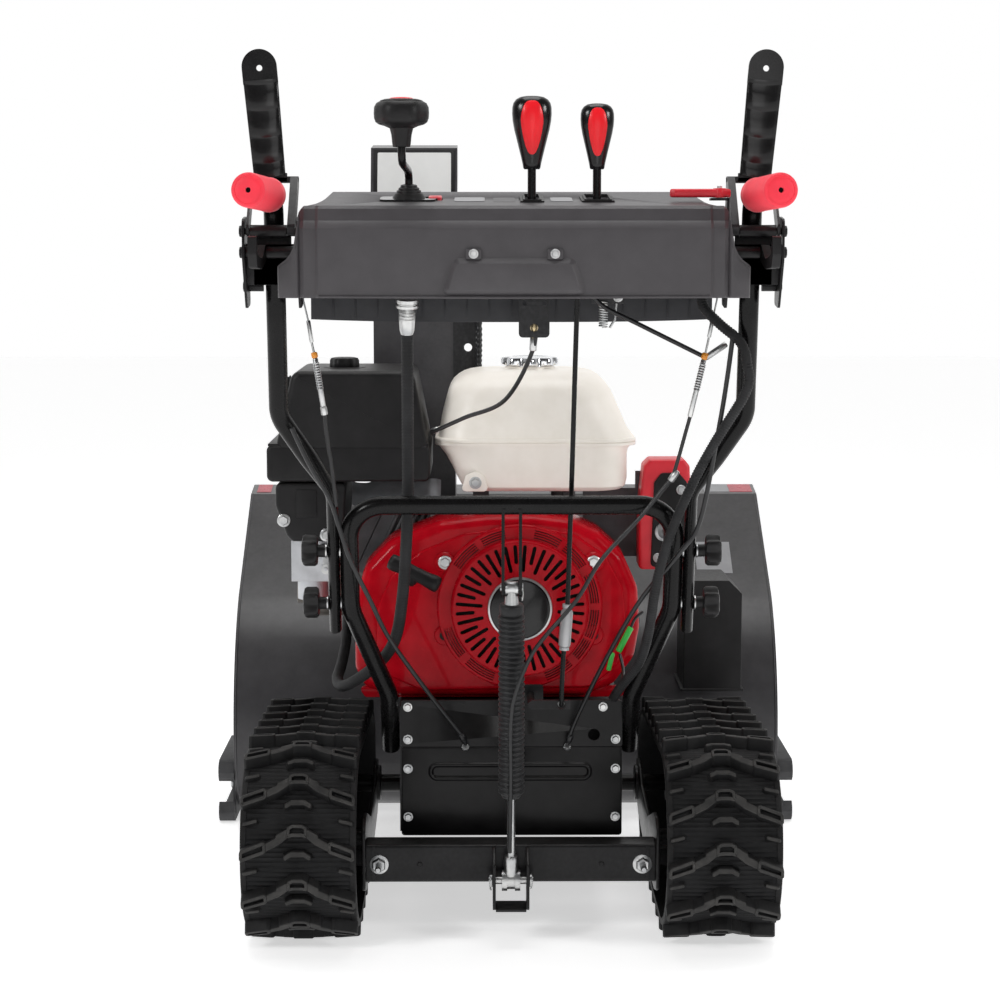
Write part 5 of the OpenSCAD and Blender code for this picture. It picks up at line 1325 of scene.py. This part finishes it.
# right adjuster
mb.tube([(253, -152, 868), (250, -150, 846), (246, -150, 826)], 1.1, 8, 2)
sleeve(mb, (246, -150, 826), (241, -149, 801), 2.6, 2)
mb.tube([(241, -149, 801), (237, -149, 782)], 1.4, 8, 2)
sleeve(mb, (237, -149, 782), (235, -149, 774), 4.0, 3)
sleeve(mb, (235, -149, 774), (219, -146, 703), 3.3, 2)
corr([(234, -149, 768), (226.5, -147.5, 736)], 3.4, 4.3, 1.6, mb, 2, 12)
mb.tube(smooth([(219, -146, 703), (213, -140, 678), (206, -131, 648), (200, -124, 625)], 8), 2.4, 12, 0)
# bright ferrules
sleeve(mb, (206, -126, 634), (197, -124, 621), 4.4, 2)
sleeve(mb, (238, -146.4, 776), (263, -148, 793), 4.0, 2)
sleeve(mb, (222, -146.2, 766.5), (238, -146.4, 776), 3.6, 0) if False else None
sleeve(mb, (26.8, -120, 801), (26, -118, 783), 4.6, 2)
sleeve(mb, (-97, 57, 669.5), (-103, 84, 666), 4.2, 2)
# bracket plate for the lever cable and the small linkage beside it
plate(mb, round2([(8, 800), (46, 800), (46, 862), (8, 862)], 5, 3), [circ((27, 812), 5, 20), circ((40, 842), 3, 16), circ((15, 842), 3, 16)], (0, 0, 0), UX, UZ, 128.4, 130.8, 4)
mb.hexbolt((27, -131, 850), (0, -1, 0), 4.2, 3, 4, washer=False)
sleeve(mb, (27, -124, 822), (27, -123, 800), 5.0, 5)
hel = []
for i in range(130):
    a = i * 0.55
    hel.append((112 + 5 * math.cos(a), -134 + 5 * math.sin(a), 846 - i * 0.26))
mb.tube(hel, 0.9, 6, 2)
mb.box((98, -136, 842), (138, -133.5, 858), 4, ch=0.6)
mb.hexbolt((130, -136, 850), (0, -1, 0), 4.2, 3, 2)
mb.tube([(128, -134, 842), (126, -134, 822), (120, -134, 812)], 1.6, 8, 2)
# places of the clips that hold the cables to the handlebar; no clips are built
for p, d in (((-216, -119, 548), 9), ((214, -118, 545), 9)):
    mb.lathe([(10.2, -3), (10.8, -2.6), (10.8, 2.6), (10.2, 3)], p, (0.25 * (1 if p[0] < 0 else -1), 0.12, -1), 24, 0) if False else None
# green push-on connectors near the starter and their wires
mb.tube(smooth([(146, -8, 338), (150, 30, 352), (147, 52, 368)], 6), 2.2, 10, 0)
sleeve(mb, (145, 55, 371), (162, 57, 404), 4.2, 6)
mb.tube(smooth([(162, 57, 404), (168, 58, 416), (178, 62, 424)], 6), 2.0, 10, 0)
sleeve(mb, (132, 58, 345), (138, 58, 369), 3.2, 6)
mb.make("cable_set", ROOT, ["cord", "braid", "steel", "orange", "frame", "brass", "green"], ["control_cables"], ang=50)

# flexible shaft to the chute's worm
mb = MB()
FP = [[-130, -118, 803], [-131, -88, 690], [-132, -66, 590], [-136, -52, 513], [-141, -34, 457], [-150, -8, 405], [-168, 18, 370], [-200, 38, 340], [-226, 80, 320], [-238, 150, 316], [-239, 260, 316], [-239, 360, 330], [-239, 440, 372], [-236.5, 480, 412]]
corr(smooth(FP, 16), 7.2, 7.9, 2.2, mb, 0, 18)
mb.lathe([(9, 0), (11, 0.6), (11, 24), (9.5, 25)], (-127, -160, 882), V((-3, 32, -46)), 24, 1)
ax = V((-1, 9, -46)).normalized()
mb.lathe([(12.5, 0), (13.6, 0.8), (13.6, 5), (12.2, 6), (12.2, 7), (13.6, 8), (13.6, 11), (12.4, 12)], (-129.2, -133, 848), ax, 24, 1, lobes=12, amp=0.03)
mb.lathe([(10.6, 12), (11.2, 13), (9.0, 40), (8.2, 43), (7.6, 45)], (-129.2, -133, 848), ax, 28, 1)
for k in (16, 20, 24):
    mb.lathe([(11.0 - (k - 13) * 0.08, k), (11.5 - (k - 13) * 0.08, k + 0.8), (11.0 - (k - 13) * 0.08, k + 1.6)], (-129.2, -133, 848), ax, 28, 1)
mb.lathe([(11.5, -18), (13, -17), (13, 17), (11.5, 18)], (-236.5, 505, 431.8), (0, 1, 0), 28, 0)
mb.tube([(-236.5, 478, 410), (-236.5, 489, 428)], 9, 20, 0)
mb.make("flex_shaft_shape", ROOT, ["braid", "steel"], ["flex_shaft"], ang=50)

# speed rod with its grey sleeve and hook
mb = MB()
RP = [[82.5, -168.5, 906], [81.5, -145, 868], [80, -120, 827], [77, -76, 640], [75, -54, 540], [73, -33, 445], [68, -32, 380], [66, -31, 330], [66, -30, 321], [66, -26, 316], [66, -20, 315], [66, -11, 315]]
mb.tube(smooth(RP, 6), 3.2, 14, 0)
plate(mb, circ((-171.2, 909.8), 8, 28), [circ((-171.2, 909.8), 3.6, 20)], (0, 0, 0), UY, UZ, 79, 86, 0)
a, b = V((73, -33, 445)), V((69, -32, 390))
d = b - a
L = d.length
mb.lathe([(4.6, -6), (6.6, -5.4), (6.6, -1), (5.4, -0.2), (5.4, 1), (7.2, 3), (8, 6), (8, L - 8), (7.2, L - 5), (5.6, L - 4.2), (6.4, L - 3.6), (6.4, L), (4.4, L + 0.6)], a, d, 32, 1)
mb.lathe([(3.3, 3), (4.6, 3.4), (4.6, 5), (3.3, 5.4)], (66, -19.5, 315), (0, 1, 0), 16, 2)
mb.make("speed_rod_shape", BODY["speed_rod"], ["tube", "silverpl", "steel"], ["speed_rod"], ang=45)

# ------------------------------------------------------------------ floor, light, camera
def stage():
    me = bpy.data.meshes.new("floor")
    me.from_pydata([(-14, -14, 0), (14, -14, 0), (14, 14, 0), (-14, 14, 0)], [], [(0, 1, 2, 3)])
    fl = bpy.data.objects.new("floor", me)
    bpy.context.scene.collection.objects.link(fl)
    m = mat("floor_m", (0.86, 0.86, 0.86), 0.75, var=0.006, bump=0.02, bscale=200, second=(0.87, 0.87, 0.87))
    bs = m.node_tree.nodes["Principled BSDF"]
    bs.inputs["Emission Color"].default_value = (1, 1, 1, 1)
    bs.inputs["Emission Strength"].default_value = 0.57
    me.materials.append(m)
    w = bpy.data.worlds.new("world")
    bpy.context.scene.world = w
    w.use_nodes = True
    nt = w.node_tree
    tc = nt.nodes.new("ShaderNodeTexCoord")
    sp = nt.nodes.new("ShaderNodeSeparateXYZ")
    nt.links.new(tc.outputs["Generated"], sp.inputs["Vector"])
    mr = nt.nodes.new("ShaderNodeMapRange")
    mr.interpolation_type = "SMOOTHSTEP"
    mr.inputs["From Min"].default_value = -0.2
    mr.inputs["From Max"].default_value = 0.75
    mr.inputs["To Min"].default_value = 0.13
    mr.inputs["To Max"].default_value = 1.0
    nt.links.new(sp.outputs["Y"], mr.inputs["Value"])
    bg = nt.nodes["Background"]
    bg.inputs["Color"].default_value = (1, 1, 1, 1)
    # the backdrop itself is plain white from every side; the gradient only lights the object
    lp = nt.nodes.new("ShaderNodeLightPath")
    mx = nt.nodes.new("ShaderNodeMath")
    mx.operation = "MAXIMUM"
    nt.links.new(mr.outputs["Result"], mx.inputs[0])
    nt.links.new(lp.outputs["Is Camera Ray"], mx.inputs[1])
    nt.links.new(mx.outputs["Value"], bg.inputs["Strength"])

    def area(name, loc, target, size, power, col=(1, 1, 1), sy=None):
        ld = bpy.data.lights.new(name, "AREA")
        ld.energy = power
        ld.color = col
        ld.size = size
        if sy:
            ld.shape = "RECTANGLE"
            ld.size_y = sy
        o = bpy.data.objects.new(name, ld)
        o.location = loc
        d = V(target) - V(loc)
        o.rotation_euler = d.to_track_quat("-Z", "Y").to_euler()
        bpy.context.scene.collection.objects.link(o)
        return o

    area("key_left", (-2.6, -2.6, 2.3), (0, -0.1, 0.5), 0.9, 44)
    area("key_right", (2.8, -2.2, 1.9), (0, -0.1, 0.5), 0.8, 34)
    area("top", (0.0, -0.4, 3.4), (0, 0, 0.4), 1.8, 40)
    area("front_fill", (0.2, -4.2, 0.9), (0, 0, 0.45), 1.2, 7)


stage()
cam = bpy.data.cameras.new("camera")
cam.lens = 79.2
cam.sensor_width = 36
cam.clip_end = 60
co = bpy.data.objects.new("camera", cam)
co.location = (-0.038, (-2850 - YS) / 1000, 0.922)
co.rotation_euler = (math.radians(90 - 6.79), 0, math.radians(-0.4818))
bpy.context.scene.collection.objects.link(co)
bpy.context.scene.camera = co
bpy.context.scene.view_settings.view_transform = "Standard"
